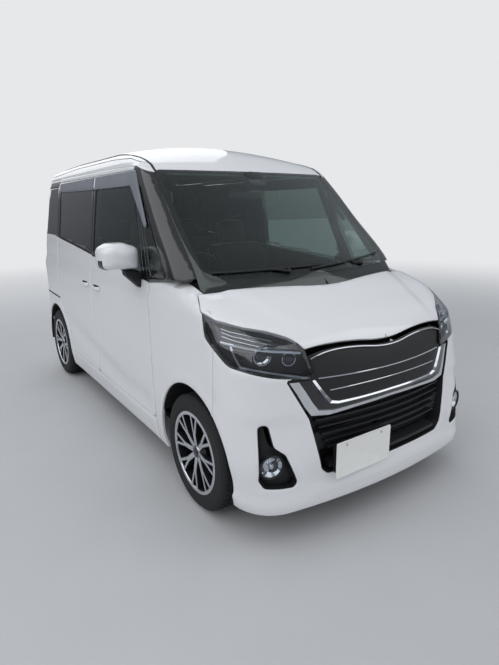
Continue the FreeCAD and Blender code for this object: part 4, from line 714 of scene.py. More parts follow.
@dataclass(frozen=True)
class Finish:
    """A surface finish: its colours, its gloss and the grain that the eye sees on it."""

    name: str
    colour: str
    second: str = ""
    roughness: float = 0.4
    metallic: float = 0.0
    coat: float = 0.0
    transmission: float = 0.0
    grain_mm: float = 3.0
    bump: float = 0.0
    spread: float = 0.0
    sheen: float = 0.0
    ior: float = 1.5

    def material(self) -> bpy.types.Material:
        """Build the material once and give it back on later calls."""
        found = bpy.data.materials.get(self.name)
        if found:
            return found
        made = bpy.data.materials.new(self.name)
        made.use_nodes = True
        tree = made.node_tree
        tree.nodes.clear()
        place = add_node(tree, "ShaderNodeTexCoord")
        noise = add_node(
            tree, "ShaderNodeTexNoise", Vector=place.outputs["Object"], Scale=1.0 / (self.grain_mm * MM),
            Detail=3.0
        )
        ramp = add_node(tree, "ShaderNodeValToRGB", Fac=noise.outputs["Fac"])
        ramp.color_ramp.elements[0].position = 0.35
        ramp.color_ramp.elements[1].position = 0.65
        ramp.color_ramp.elements[0].color = linear(self.colour)
        ramp.color_ramp.elements[1].color = linear(self.second or self.colour)
        shader = add_node(
            tree, "ShaderNodeBsdfPrincipled", Base_Color=ramp.outputs["Color"], Metallic=self.metallic
        )
        if self.metallic < 0.5:
            shader.inputs["IOR"].default_value = self.ior
        shader.inputs["Coat Weight"].default_value = self.coat
        shader.inputs["Coat Roughness"].default_value = 0.03
        shader.inputs["Transmission Weight"].default_value = self.transmission
        shader.inputs["Sheen Weight"].default_value = self.sheen
        if self.spread:
            rough = add_node(
                tree, "ShaderNodeMapRange", Value=noise.outputs["Fac"], From_Min=0.3, From_Max=0.7,
                To_Min=max(0.0, self.roughness - self.spread), To_Max=self.roughness + self.spread,
            )
            tree.links.new(rough.outputs["Result"], shader.inputs["Roughness"])
        else:
            shader.inputs["Roughness"].default_value = self.roughness
        if self.bump:
            dent = add_node(
                tree, "ShaderNodeBump", Strength=self.bump, Distance=self.grain_mm * MM * 0.1,
                Height=noise.outputs["Fac"]
            )
            tree.links.new(dent.outputs["Normal"], shader.inputs["Normal"])
        add_node(tree, "ShaderNodeOutputMaterial", Surface=shader.outputs["BSDF"])
        return made


# Three-stage pearl white: a cool white base under clear lacquer, so it mirrors sharply over a soft body colour
PEARL = Finish(
    "pearl_white_lacquer", "e9ebee", "f1f2f3", roughness=0.42, coat=1.0, grain_mm=2.0, spread=0.03
)
# High-gloss black film and polycarbonate on the pillars: deep black with a clear mirror
GLOSS_BLACK = Finish(
    "gloss_black_polycarbonate", "0a0b0d", "0c0d0f", roughness=0.18, coat=0.8, grain_mm=20.0, spread=0.02
)
# Moulded polypropylene with a spark-eroded grain: grey sheen that spreads
GRAIN_BLACK = Finish(
    "grained_black_polypropylene", "151618", "1b1c1f", roughness=0.55, grain_mm=1.2, bump=0.5, spread=0.06
)
# Painted shade for the open gaps, recesses, slots and grooves, and the black undercoat on the panels' backs: matt and
# very dark
SHADOW_BLACK = Finish("matt_black_undercoat_and_painted_shade", "0b0b0c", "0f0f10", roughness=0.8, grain_mm=4.0, bump=0.3)
# Bright decorative chrome plate on ABS: a clean mirror with faint waviness
CHROME = Finish(
    "decorative_chrome_plate", "d6d9de", "dfe1e5", roughness=0.07, metallic=1.0, grain_mm=40.0, spread=0.02
)
# Smoked chrome plate of the lower frame
DARK_CHROME = Finish(
    "smoked_chrome_plate", "8f9399", "9a9da3", roughness=0.1, metallic=1.0, grain_mm=40.0, spread=0.02
)
# Turned and lacquered alloy face: fine bright grain
MACHINED = Finish(
    "machined_lacquered_alloy", "c9ccd1", "d8dade", roughness=0.24, metallic=1.0, grain_mm=1.0, spread=0.05
)
# Dark painted alloy in the wheel's pockets
DARK_ALLOY = Finish(
    "dark_painted_alloy", "1b1d21", "222529", roughness=0.35, metallic=0.3, coat=0.4, grain_mm=2.0
)
# Green-tinted laminated glass
CLEAR_GLASS = Finish(
    "green_tinted_laminated_glass", "c4d6cf", "c4d6cf", roughness=0.0, transmission=1.0, ior=1.45
)
# Deep privacy glass: nearly black body with a sharp mirror
PRIVACY_GLASS = Finish(
    "privacy_glass", "08090b", "0a0b0d", roughness=0.02, coat=1.0, grain_mm=300.0, ior=1.5
)
# Smoked acrylic of the rain visors
VISOR_ACRYLIC = Finish(
    "smoked_acrylic", "767983", "80838d", roughness=0.08, coat=1.0, grain_mm=200.0, ior=1.49
)
# Clear hard-coated polycarbonate of the lamps
LENS = Finish("clear_polycarbonate_lens", "eef1f4", "eef1f4", roughness=0.0, transmission=1.0, ior=1.5)
SMOKED_LENS = Finish(
    "smoked_polycarbonate_lens", "8d95a6", "8d95a6", roughness=0.02, transmission=0.9, ior=1.5
)
RED_LENS = Finish(
    "red_acrylic_lens", "7d0a0c", "93100f", roughness=0.06, coat=1.0, grain_mm=6.0, transmission=0.2
)
# Tyre rubber: dull black with a grey bloom
TYRE_RUBBER = Finish(
    "tyre_rubber", "191a1b", "232425", roughness=0.78, grain_mm=14.0, bump=0.25, spread=0.08
)
SEAL_RUBBER = Finish("door_seal_rubber", "0d0d0e", "131314", roughness=0.6, grain_mm=5.0)
PLATE_ENAMEL = Finish(
    "white_enamelled_plate", "f2f2ee", "f5f5f2", roughness=0.45, grain_mm=60.0, spread=0.03
)
DASH_PLASTIC = Finish(
    "soft_touch_dash_plastic", "1c1d20", "232427", roughness=0.62, grain_mm=1.6, bump=0.6, spread=0.04
)
SEAT_CLOTH = Finish(
    "woven_seat_cloth", "1d1e22", "2c2e33", roughness=0.95, grain_mm=2.4, bump=0.9, sheen=0.4
)
HEADLINING = Finish(
    "felt_headlining", "8e8c88", "989692", roughness=0.95, grain_mm=2.0, bump=0.5, sheen=0.3
)
DOOR_TRIM = Finish("moulded_door_trim", "222327", "292a2e", roughness=0.6, grain_mm=1.6, bump=0.5)
PRIMER = Finish("dip_primed_steel", "232528", "2c2e31", roughness=0.6, grain_mm=8.0, bump=0.2, spread=0.08)
CAST = Finish(
    "cast_iron_skin", "3b3a39", "4a4846", roughness=0.7, metallic=0.6, grain_mm=2.5, bump=0.8, spread=0.08
)
EXHAUST_STEEL = Finish(
    "dull_stainless_tube", "6b6660", "7d7871", roughness=0.42, metallic=1.0, grain_mm=10.0, spread=0.08
)


def dress(
    name: str, shell: Shell, finishes: Sequence[Finish], body: str, replaced: Iterable[str] = (),
    sharp: float = 34.0
) -> bpy.types.Object:
    """Turn a shell into a finished object on its body.

    Args:
        name: The object's name.
        shell: Its mesh data in millimetres.
        finishes: A finish for each material index.
        body: The body it moves with.
        replaced: The solids it stands for.
        sharp: The angle in degrees above which an edge shows.

    Returns:
        The object.
    """
    mesh = bpy.data.meshes.new(name)
    mesh.from_pydata([tuple(p) for p in shell.points * MM], [], shell.faces)
    for finish in finishes:
        mesh.materials.append(finish.material())
    marks = shell.marks if shell.marks else [0] * len(shell.faces)
    mesh.polygons.foreach_set("material_index", marks)
    mesh.polygons.foreach_set("use_smooth", [True] * len(mesh.polygons))
    mesh.validate()
    mesh.set_sharp_from_angle(angle=math.radians(sharp))
    made = bpy.data.objects.new(name, mesh)
    bpy.context.scene.collection.objects.link(made)
    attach(made, body)
    if replaced:
        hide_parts(*replaced)
    LOG.info("%s: %d faces", name, len(mesh.polygons))
    return made


def belt_z(x: float) -> float:
    """Height of the windows' lower edge at x."""
    share = min(1.0, (DOOR_FRONT_X - x) / (DOOR_FRONT_X - REAR_AXLE_X))
    return BELT_FRONT_Z + (BELT_REAR_Z - BELT_FRONT_Z) * share


SIDE = View(Way.SIDE)
FRONT = View(Way.FRONT)
REAR = View(Way.REAR)
TOP = View(Way.TOP)
LAMP = View(Way.LAMP)
PILLAR_ROUND = View(Way.ROUND, axis=300.0)
TAIL_ROUND = View(Way.ROUND, axis=-1150.0)
ROOF_BARREL = View(Way.BARREL, axis=1250.0)
TAIL_ROLL = View(Way.ROLL, axis=1100.0)


def circle(x: float, z: float, radius: float, count: int = 120) -> Points:
    """A circle in a drawing plane."""
    turn = np.linspace(0, 2 * math.pi, count, endpoint=False)
    return np.stack([x + radius * np.cos(turn), z + radius * np.sin(turn)], axis=1)


def mirrored_outline(points: Sequence[Sequence[float]]) -> list[tuple[float, float, float]]:
    """A right-hand front outline completed with its mirror image."""
    return [tuple(p) for p in points] + [(-y, z, r) for y, z, r in reversed(points) if y]


FRAME_WIDTH = 42.0
FRONT_DOOR = Region.of(SIDE, (
    (DOOR_FRONT_X, SILL_TOP_Z, 40), (DOOR_FRONT_X, BELT_FRONT_Z - 5, 30), (430.0, DOOR_TOP_Z, 60),
    (DOOR_SPLIT_X, DOOR_TOP_Z, 25), (DOOR_SPLIT_X, SILL_TOP_Z, 40),
), past=400.0)
SLIDE_DOOR = Region.of(SIDE, (
    (DOOR_SPLIT_X, SILL_TOP_Z, 40), (DOOR_SPLIT_X, DOOR_TOP_Z, 25), (SLIDE_REAR_X, DOOR_TOP_Z, 40),
    (SLIDE_REAR_X, 677, 60), (REAR_AXLE_X + ARCH_RADIUS + 22, 480, 90), (
        REAR_AXLE_X + ARCH_RADIUS + 30, SILL_TOP_Z, 20
    ),
), past=400.0)
FRONT_WINDOW = Region.of(SIDE, (
    (DOOR_FRONT_X - 60, belt_z(DOOR_FRONT_X - 60), 20), (420.0, WINDOW_TOP_Z, 30),
    (DOOR_SPLIT_X + FRAME_WIDTH, WINDOW_TOP_Z, 20), (
        DOOR_SPLIT_X + FRAME_WIDTH, belt_z(DOOR_SPLIT_X + FRAME_WIDTH), 20
    ),
), past=400.0)
SLIDE_WINDOW = Region.of(SIDE, (
    (
        DOOR_SPLIT_X - FRAME_WIDTH, belt_z(DOOR_SPLIT_X - FRAME_WIDTH), 20
    ), (DOOR_SPLIT_X - FRAME_WIDTH, WINDOW_TOP_Z, 20),
    (SLIDE_REAR_X + FRAME_WIDTH, WINDOW_TOP_Z, 20), (
        SLIDE_REAR_X + FRAME_WIDTH, belt_z(SLIDE_REAR_X + FRAME_WIDTH), 20
    ),
), past=400.0)
REAR_WINDOW = Region.of(SIDE, (
    (
        SLIDE_REAR_X - FRAME_WIDTH, belt_z(SLIDE_REAR_X - FRAME_WIDTH), 20
    ), (SLIDE_REAR_X - FRAME_WIDTH, WINDOW_TOP_Z, 20),
    (TAIL_X + 180, WINDOW_TOP_Z, 40), (TAIL_X + 160, BELT_REAR_Z, 40),
), past=400.0)
QUARTER_WINDOW = Region.of(SIDE, (
    (DOOR_FRONT_X + 22, BELT_FRONT_Z + 22, 14), (DOOR_FRONT_X + 200, BELT_FRONT_Z + 36, 14),
    (542.0, WINDOW_TOP_Z - 60, 14), (492.0, WINDOW_TOP_Z - 40, 14),
), past=400.0)
FRONT_ARCH = Region(SIDE, circle(FRONT_AXLE_X, WHEEL_Z, ARCH_RADIUS), past=400.0)
REAR_ARCH = Region(SIDE, circle(REAR_AXLE_X, WHEEL_Z, ARCH_RADIUS), past=400.0)
GUTTER = Region.of(SIDE, (
    (
        TAIL_X - 60, GUTTER_Z, 0
    ), (0, GUTTER_Z, 300), (430.0, GUTTER_Z - 8, 100), (660, 1540, 0), (660, 1900, 0), (TAIL_X - 60, 1900, 0),
))
UPPER = Region.of(SIDE, (
    (TAIL_X - 60, BELT_REAR_Z, 0), (REAR_AXLE_X, BELT_REAR_Z, 200), (DOOR_FRONT_X, BELT_FRONT_Z - 5, 0),
    (NOSE_X - 600, 1086, 0), (NOSE_X - 440, 1086, 0), (NOSE_X - 440, 1900, 0), (TAIL_X - 60, 1900, 0),
))
BUMPER_SIDE = Region.of(
    SIDE, ((FENDER_SEAM_X, 60, 0), (1800, 60, 0), (1800, 842, 0), (FENDER_SEAM_X, 842, 0))
)
REAR_BUMPER = Region.of(SIDE, (
    (TAIL_X - 60, 100, 0), (TAIL_X - 60, 554, 0), (REAR_AXLE_X - 250, 578, 0), (
        REAR_AXLE_X - ARCH_RADIUS + 40, 460, 0
    ),
    (REAR_AXLE_X - ARCH_RADIUS + 40, 100, 0),
))
SILL = Region.of(
    SIDE, ((-1000, 100, 0), (DOOR_FRONT_X, 100, 0), (DOOR_FRONT_X, SILL_TOP_Z, 0), (-1000, SILL_TOP_Z, 0)),
    past=400.0
)
SCREEN = Region.of(FRONT, ((-634, 1020, 20), (634, 1020, 20), (592, 1592, 50), (-592, 1592, 50)), ahead=0.0)
TAIL_LAMP = Region.of(
    REAR, ((-800, 860, 0), (-596, 860, 20), (-596, 1180, 20), (-800, 1180, 0)), behind=TAIL_X + 150.0
)
TAIL_LAMP_SIDE = Region.of(
    SIDE,
    ((TAIL_X - 60, 860, 0), (TAIL_X + 150, 860, 12), (TAIL_X + 150, 1180, 12), (TAIL_X - 60, 1180, 0)),
    past=400.0
)
TAIL_CUT_X = TAIL_X + 185.0
TAILGATE = Region.of(REAR, (
    (-590, 560, 60), (590, 560, 60), (590, 1150, 0), (550, 1690, 0), (550, 1900, 0), (-550, 1900, 0), (-550, 1690, 0), (-590, 1150, 0),
), behind=TAIL_CUT_X)
TAILGATE_TOP = Region.of(
    TOP,
    ((TAIL_CUT_X, -550, 0), (TAIL_CUT_X - 400, -550, 0), (TAIL_CUT_X - 400, 550, 0), (TAIL_CUT_X, 550, 0))
)
TAIL_WINDOW = Region.of(REAR, ((-540, 1130, 50), (540, 1130, 50), (515, 1560, 50), (-515, 1560, 50)))
BONNET = Region.of(TOP, [
    (NOSE_X - back, y, r) for back, y, r in (
        (572, -668, 10), (466, -716, 60), (374, -696, 60), (282, -624, 80), (170, -486, 60), (116, -437, 20), (62, 0, 900),
        (116, 437, 20), (170, 486, 60), (282, 624, 80), (374, 696, 60), (466, 716, 60), (572, 668, 10), (424, 0, 700),
    )
])
COWL_SPACE = Region.of(TOP, ((640, -640, 0), (1270, -640, 0), (1270, 640, 0), (640, 640, 0)))
LAMP_OUTLINE = Region.of(LAMP, (
    (171, 985, 8), (354, 950, 90), (533, 897, 40), (599, 840, 20), (646, 716, 20), (495, 738, 80), (290, 780, 60), (187, 872, 40),
), 8.0)
LAMP_MIRROR = Region(View(Way.LAMP, side=1.0), LAMP_OUTLINE.loop)
MOUTH = Region.of(FRONT, mirrored_outline((
    (-470, 880, 0), (-470, 742, 0), (-530, 722, 8), (-446, 556, 20), (-396, 330, 30), (-364, 300, 30),
)), ahead=900.0)
FOG_POINTS = (
    (-652, 549, 16), (-618, 557, 20), (-604, 462, 30), (-560, 426, 30), (-513, 300, 16), (-530, 281, 12), (-648, 291, 14), (-666, 325, 20),
)
FOG = Region.of(FRONT, FOG_POINTS, 8.0, ahead=1200.0)
FOG_MIRROR = Region.of(FRONT, [(-y, z, r) for y, z, r in FOG_POINTS], 8.0, ahead=1200.0)


def outside(*regions: Region) -> Callable[[Points], Points]:
    """A test for points outside all of the regions."""
    return lambda p: ~np.any([r.contains(p) for r in regions], axis=0)


def unit(v: Points) -> Points:
    """Vectors made one long."""
    v = np.asarray(v, dtype=float)
    return v / np.maximum(np.linalg.norm(v, axis=-1, keepdims=True), 1e-9)


def outward(points: Points, faces: list, mark: int = 0) -> Shell:
    """A closed shell with its faces turned outward."""
    volume = 0.0
    for face in faces:
        a = points[face[0]]
        for i in range(1, len(face) - 1):
            volume += float(np.dot(a, np.cross(points[face[i]], points[face[i + 1]])))
    if volume < 0:
        faces = [tuple(reversed(f)) for f in faces]
    return Shell(points, faces, [mark] * len(faces))


def lathe(
    profile: Sequence[Sequence[float]], centre: Sequence[float], axis: Sequence[float], count: int = 48, ring: bool = False, mark: int = 0
) -> Shell:
    """A turned body.

    Args:
        profile: Radius and place along the axis, from one end to the other; a radius of 0 ends in a pole.
        centre: The axis's zero point.
        axis: The axis's direction.
        count: Steps round the axis.
        ring: Whether the profile closes on itself.
        mark: The material index.

    Returns:
        The closed shell.
    """
    axis = unit(axis)
    across = unit(np.cross(axis, (0.0, 0.0, 1.0) if abs(axis[2]) < 0.9 else (1.0, 0.0, 0.0)))
    other = np.cross(axis, across)
    turn = np.arange(count) * 2 * math.pi / count
    spoke = np.cos(turn)[:, None] * across + np.sin(turn)[:, None] * other
    points, rings, faces = [], [], []
    total = 0
    for radius, place in profile:
        base = np.asarray(centre, dtype=float) + axis * place
        if radius == 0:
            points.append(base[None])
            rings.append([total] * count)
            total += 1
        else:
            points.append(base + spoke * radius)
            rings.append(list(range(total, total + count)))
            total += count
    pairs = list(zip(rings, rings[1:])) + ([(rings[-1], rings[0])] if ring else [])
    for low, high in pairs:
        for i in range(count):
            j = (i + 1) % count
            face = []
            for v in (low[i], low[j], high[j], high[i]):
                if v not in face:
                    face.append(v)
            if len(face) > 2:
                faces.append(tuple(face))
    return outward(np.concatenate(points), faces, mark)


def loft(rings: Sequence[Points], closed: bool = False, mark: int = 0) -> Shell:
    """A body through rings of equal count, capped at both ends unless it closes on itself."""
    count = len(rings[0])
    points = np.concatenate(rings)
    faces = []
    steps = len(rings) if closed else len(rings) - 1
    for k in range(steps):
        low, high = k * count, ((k + 1) % len(rings)) * count
        for i in range(count):
            j = (i + 1) % count
            faces.append((low + i, low + j, high + j, high + i))
    if not closed:
        faces.append(tuple(range(count))[::-1])
        faces.append(tuple(range((len(rings) - 1) * count, len(rings) * count)))
    return outward(points, faces, mark)


def sweep(
    path: Points, out: Points, profile: Sequence[Sequence[float]], closed: bool = False,
    scale: Optional[Points] = None, mark: int = 0
) -> Shell:
    """A profile of (across, out) points carried along a path.

    Args:
        path: Points along the way.
        out: The outward direction at each.
        profile: The closed section.
        closed: Whether the path closes on itself.
        scale: The section's size at each point, 1 where left out.
        mark: The material index.

    Returns:
        The closed shell.
    """
    ahead = np.roll(path, -1, axis=0) - np.roll(path, 1, axis=0)
    if not closed:
        ahead[0], ahead[-1] = path[1] - path[0], path[-1] - path[-2]
    ahead = unit(ahead)
    across = unit(np.cross(out, ahead))
    lift = np.cross(ahead, across)
    size = np.ones(len(path)) if scale is None else np.asarray(scale)
    rings = [
        p + s * np.array([a * c + o * n for a, o in profile]) for p, s, c,
        n in zip(path, size, across, lift)
    ]
    return loft(rings, closed, mark)


def section(width: float, height: float, soft: float = 0.3) -> list[tuple[float, float]]:
    """A flat strip's section with its outer corners eased."""
    w, e = width / 2, min(width, height) * soft
    return [(-w, 0), (w, 0), (w, height - e), (w - e, height), (-w + e, height), (-w, height - e)]


def round_section(radius: float, count: int = 10) -> list[tuple[float, float]]:
    """A round bar's section."""
    return [
        (
            radius * math.cos(2 * math.pi * i / count), radius * math.sin(2 * math.pi * i / count)
        ) for i in range(count)
    ]


def resampled(points: Points, step: float, closed: bool = False) -> Points:
    """A polyline with even steps."""
    if closed:
        points = np.concatenate([points, points[:1]])
    length = np.concatenate([[0], np.cumsum(np.linalg.norm(np.diff(points, axis=0), axis=1))])
    count = max(2, int(length[-1] / step) + 1)
    marks = np.linspace(0, length[-1], count)
    out = np.stack([np.interp(marks, length, points[:, i]) for i in range(points.shape[1])], axis=1)
    return out[:-1] if closed else out


def strip(
    skin: Skin, view: View, line: Sequence[Sequence[float]], profile: Sequence[Sequence[float]], under: float = 0.0,
    step: float = 14.0, closed: bool = False, mark: int = 0, scale: Optional[Points] = None,
) -> Shell:
    """A moulding that follows a skin along a line of a drawing plane."""
    flat = resampled(np.asarray(line, dtype=float), step, closed)
    space, met = view.lift(flat, skin, under)
    space = space[met]
    return sweep(space, skin.normals(space), profile, closed, scale, mark)


def pad_block(
    centre: Sequence[float], half: Sequence[float], corner: float, rows: int = 6, turn: float = 0.0,
    crown: float = 0.0, mark: int = 0
) -> Shell:
    """A rounded block, turned about Y and crowned on its faces.

    Args:
        centre: Its middle.
        half: Its half sizes.
        corner: The corners' radius.
        rows: Steps along each edge.
        turn: Its turn about Y in degrees.
        crown: How far its faces swell.
        mark: The material index.

    Returns:
        The closed shell.
    """
    half = np.asarray(half, dtype=float)
    line = np.concatenate([[-1.0], np.linspace(-1, 1, rows + 1)[1:-1], [1.0]])
    seen: dict[tuple, int] = {}
    points: list[Points] = []
    faces: list[tuple] = []

    def vertex(raw: tuple[float, float, float]) -> int:
        """The block's vertex for a cube point."""
        key = tuple(round(v, 6) for v in raw)
        if key not in seen:
            cube = np.array(raw) * half
            core = np.clip(cube, -(half - corner), half - corner)
            away = unit(np.sign(cube - core) * np.abs(cube - core) + np.array(raw) * 1e-6)
            swell = crown * np.prod([1 - abs(v) ** 2.2 if abs(v) < 1 else 1.0 for v in raw])
            seen[key] = len(points)
            points.append(core + away * corner + away * swell)
        return seen[key]

    for axis in range(3):
        for sign in (-1.0, 1.0):
            for i in range(rows):
                for j in range(rows):
                    quad = []
                    for a, b in ((i, j), (i + 1, j), (i + 1, j + 1), (i, j + 1)):
                        raw = [0.0, 0.0, 0.0]
                        raw[axis] = sign
                        raw[(axis + 1) % 3] = line[a]
                        raw[(axis + 2) % 3] = line[b]
                        quad.append(vertex(tuple(raw)))
                    faces.append(tuple(quad if sign > 0 else reversed(quad)))
    cloud = np.array(points)
    a = math.radians(turn)
    spin = np.array([[math.cos(a), 0, math.sin(a)], [0, 1, 0], [-math.sin(a), 0, math.cos(a)]])
    return outward(cloud @ spin.T + np.asarray(centre, dtype=float), faces, mark)


def beam(
    start: Sequence[float], end: Sequence[float], wide: float, high: float, up: Sequence[float] = (0, 0, 1),
    mark: int = 0
) -> Shell:
    """A straight bar with eased edges between two points."""
    path = np.array([start, end], dtype=float)
    w, h, e = wide / 2, high / 2, min(wide, high) * 0.2
    profile = [
        (-w + e, -h), (w - e, -h), (w, -h + e), (w, h - e), (w - e, h), (-w + e, h), (-w, h - e),
        (-w, -h + e)
    ]
    return sweep(path, np.array([up, up], dtype=float), profile, mark=mark)


class Repeater:
    """Repeats a small shell with a Geometry Nodes tree."""

    def host(self, name: str, points: Points, attributes: dict[str, Points]) -> bpy.types.Object:
        """A mesh of loose points that carries the copies' turns and sizes."""
        mesh = bpy.data.meshes.new(name)
        mesh.from_pydata([tuple(p) for p in points * MM], [], [])
        for key, values in attributes.items():
            kind = "FLOAT_VECTOR" if values.ndim == 2 else "FLOAT"
            data = mesh.attributes.new(key, kind, "POINT").data
            data.foreach_set("vector" if values.ndim == 2 else "value", values.reshape(-1).astype(float))
        made = bpy.data.objects.new(name, mesh)
        bpy.context.scene.collection.objects.link(made)
        return made

    def tree(self, finish: Finish) -> bpy.types.NodeTree:
        """Instances of the element on the host's points, turned and sized by the points' attributes."""
        tree = bpy.data.node_groups.new("repeat", "GeometryNodeTree")
        tree.interface.new_socket(name="Geometry", in_out="INPUT", socket_type="NodeSocketGeometry")
        tree.interface.new_socket(name="Element", in_out="INPUT", socket_type="NodeSocketObject")
        tree.interface.new_socket(name="Size", in_out="INPUT", socket_type="NodeSocketFloat")
        tree.interface.new_socket(name="Geometry", in_out="OUTPUT", socket_type="NodeSocketGeometry")
        entry = add_node(tree, "NodeGroupInput")
        element = add_node(tree, "GeometryNodeObjectInfo", Object=entry.outputs["Element"])
        turn = add_node(tree, "GeometryNodeInputNamedAttribute", {"data_type": "FLOAT_VECTOR"}, Name="turn")
        size = add_node(tree, "GeometryNodeInputNamedAttribute", {"data_type": "FLOAT"}, Name="size")
        scale = add_node(
            tree, "ShaderNodeMath", {"operation": "MULTIPLY"}, i0=size.outputs["Attribute"],
            i1=entry.outputs["Size"]
        )
        rotation = add_node(tree, "FunctionNodeEulerToRotation", Euler=turn.outputs["Attribute"])
        copies = add_node(
            tree, "GeometryNodeInstanceOnPoints", Points=entry.outputs["Geometry"], Instance=element.outputs["Geometry"],
            Rotation=rotation.outputs["Rotation"], Scale=scale.outputs["Value"],
        )
        real = add_node(tree, "GeometryNodeRealizeInstances", Geometry=copies.outputs["Instances"])
        painted = add_node(
            tree, "GeometryNodeSetMaterial", Geometry=real.outputs["Geometry"], Material=finish.material()
        )
        add_node(tree, "NodeGroupOutput", Geometry=painted.outputs["Geometry"])
        return tree

    def scatter(
        self, element: Shell, points: Points, turns: Points, sizes: Points, finish: Finish, mark: int = 0
    ) -> Shell:
        """Copy an element, drawn about the origin, to points.

        Args:
            element: The shell to repeat.
            points: Where its copies go.
            turns: Euler angles in radians for each copy.
            sizes: A scale for each copy.
            finish: The finish that the tree sets.
            mark: The material index in the shell that comes back.

        Returns:
            All the copies as one shell.
        """
        mesh = bpy.data.meshes.new("element")
        mesh.from_pydata([tuple(p) for p in element.points * MM], [], element.faces)
        pattern = bpy.data.objects.new("element", mesh)
        bpy.context.scene.collection.objects.link(pattern)
        host = self.host(
            "repeat_host", np.asarray(points, dtype=float),
            {"turn": np.asarray(turns, dtype=float), "size": np.asarray(sizes, dtype=float)}
        )
        modifier = host.modifiers.new("repeat", "NODES")
        modifier.node_group = self.tree(finish)
        ids = {
            item.name: item.identifier for item in modifier.node_group.interface.items_tree if item.in_out == "INPUT"
        }
        modifier[ids["Element"]] = pattern
        modifier[ids["Size"]] = 1.0
        graph = bpy.context.evaluated_depsgraph_get()
        done = bpy.data.meshes.new_from_object(host.evaluated_get(graph))
        cloud = np.zeros(len(done.vertices) * 3)
        done.vertices.foreach_get("co", cloud)
        faces = [tuple(polygon.vertices) for polygon in done.polygons]
        for leftover in (host, pattern):
            bpy.data.objects.remove(leftover)
        return Shell(cloud.reshape(-1, 3) / MM, faces, [mark] * len(faces))

    def spin(
        self, element: Shell, centre: Sequence[float], count: int, finish: Finish, phase: float = 0.0,
        mark: int = 0
    ) -> Shell:
        """Copy an element round the Y axis through a centre."""
        turns = np.zeros((count, 3))
        turns[:, 1] = np.radians(phase) + np.arange(count) * 2 * math.pi / count
        return self.scatter(
            element, np.tile(np.asarray(centre, dtype=float), (count, 1)), turns, np.ones(count), finish,
            mark
        )


REPEAT = Repeater()


def facing(normals: Points) -> Points:
    """Euler turns that carry +X onto each normal."""
    n = unit(normals)
    return np.stack(
        [np.zeros(len(n)), -np.arcsin(np.clip(n[:, 2], -1, 1)), np.arctan2(n[:, 1], n[:, 0])], axis=1
    )


def banded(shell: Shell, bands: Sequence[int]) -> Shell:
    """Give each facet along a lofted band its own material index."""
    caps = len(shell.faces) % len(bands)
    shell.marks = [bands[i % len(bands)] for i in range(len(shell.faces) - caps)] + [bands[0]] * caps
    return shell


def slab(grid: Points, drop: Sequence[float], mark: int = 0) -> Shell:
    """A closed sheet from a grid of points and an offset to its back."""
    rows, columns = grid.shape[:2]
    front = grid.reshape(-1, 3)
    base = len(front)
    faces = []
    for i in range(rows - 1):
        for j in range(columns - 1):
            a = i * columns + j
            faces.append((a, a + 1, a + columns + 1, a + columns))
            faces.append(tuple(base + v for v in (a + columns, a + columns + 1, a + 1, a)))
    rim = [*range(columns), *[columns * i + columns - 1 for i in range(1, rows)]]
    rim += [
        *range(rows * columns - 2, (rows - 1) * columns - 1, -1),
        *[columns * i for i in range(rows - 2, 0, -1)]
    ]
    for a, b in zip(rim, rim[1:] + rim[:1]):
        faces.append((b, a, base + a, base + b))
    return outward(np.concatenate([front, front + np.asarray(drop, dtype=float)]), faces, mark)


def ring_section(low: float, high: float, thick: float) -> list[tuple[float, float]]:
    """The section of a wall that stands between two depths."""
    return [(-thick, low), (thick, low), (thick, high), (-thick, high)]


def lifted(view: View, s: float, z: float, skin: Skin, depth: float) -> Points:
    """One drawing point carried under a skin."""
    return view.lift(np.array([[s, z]], dtype=float), skin, depth)[0][0]


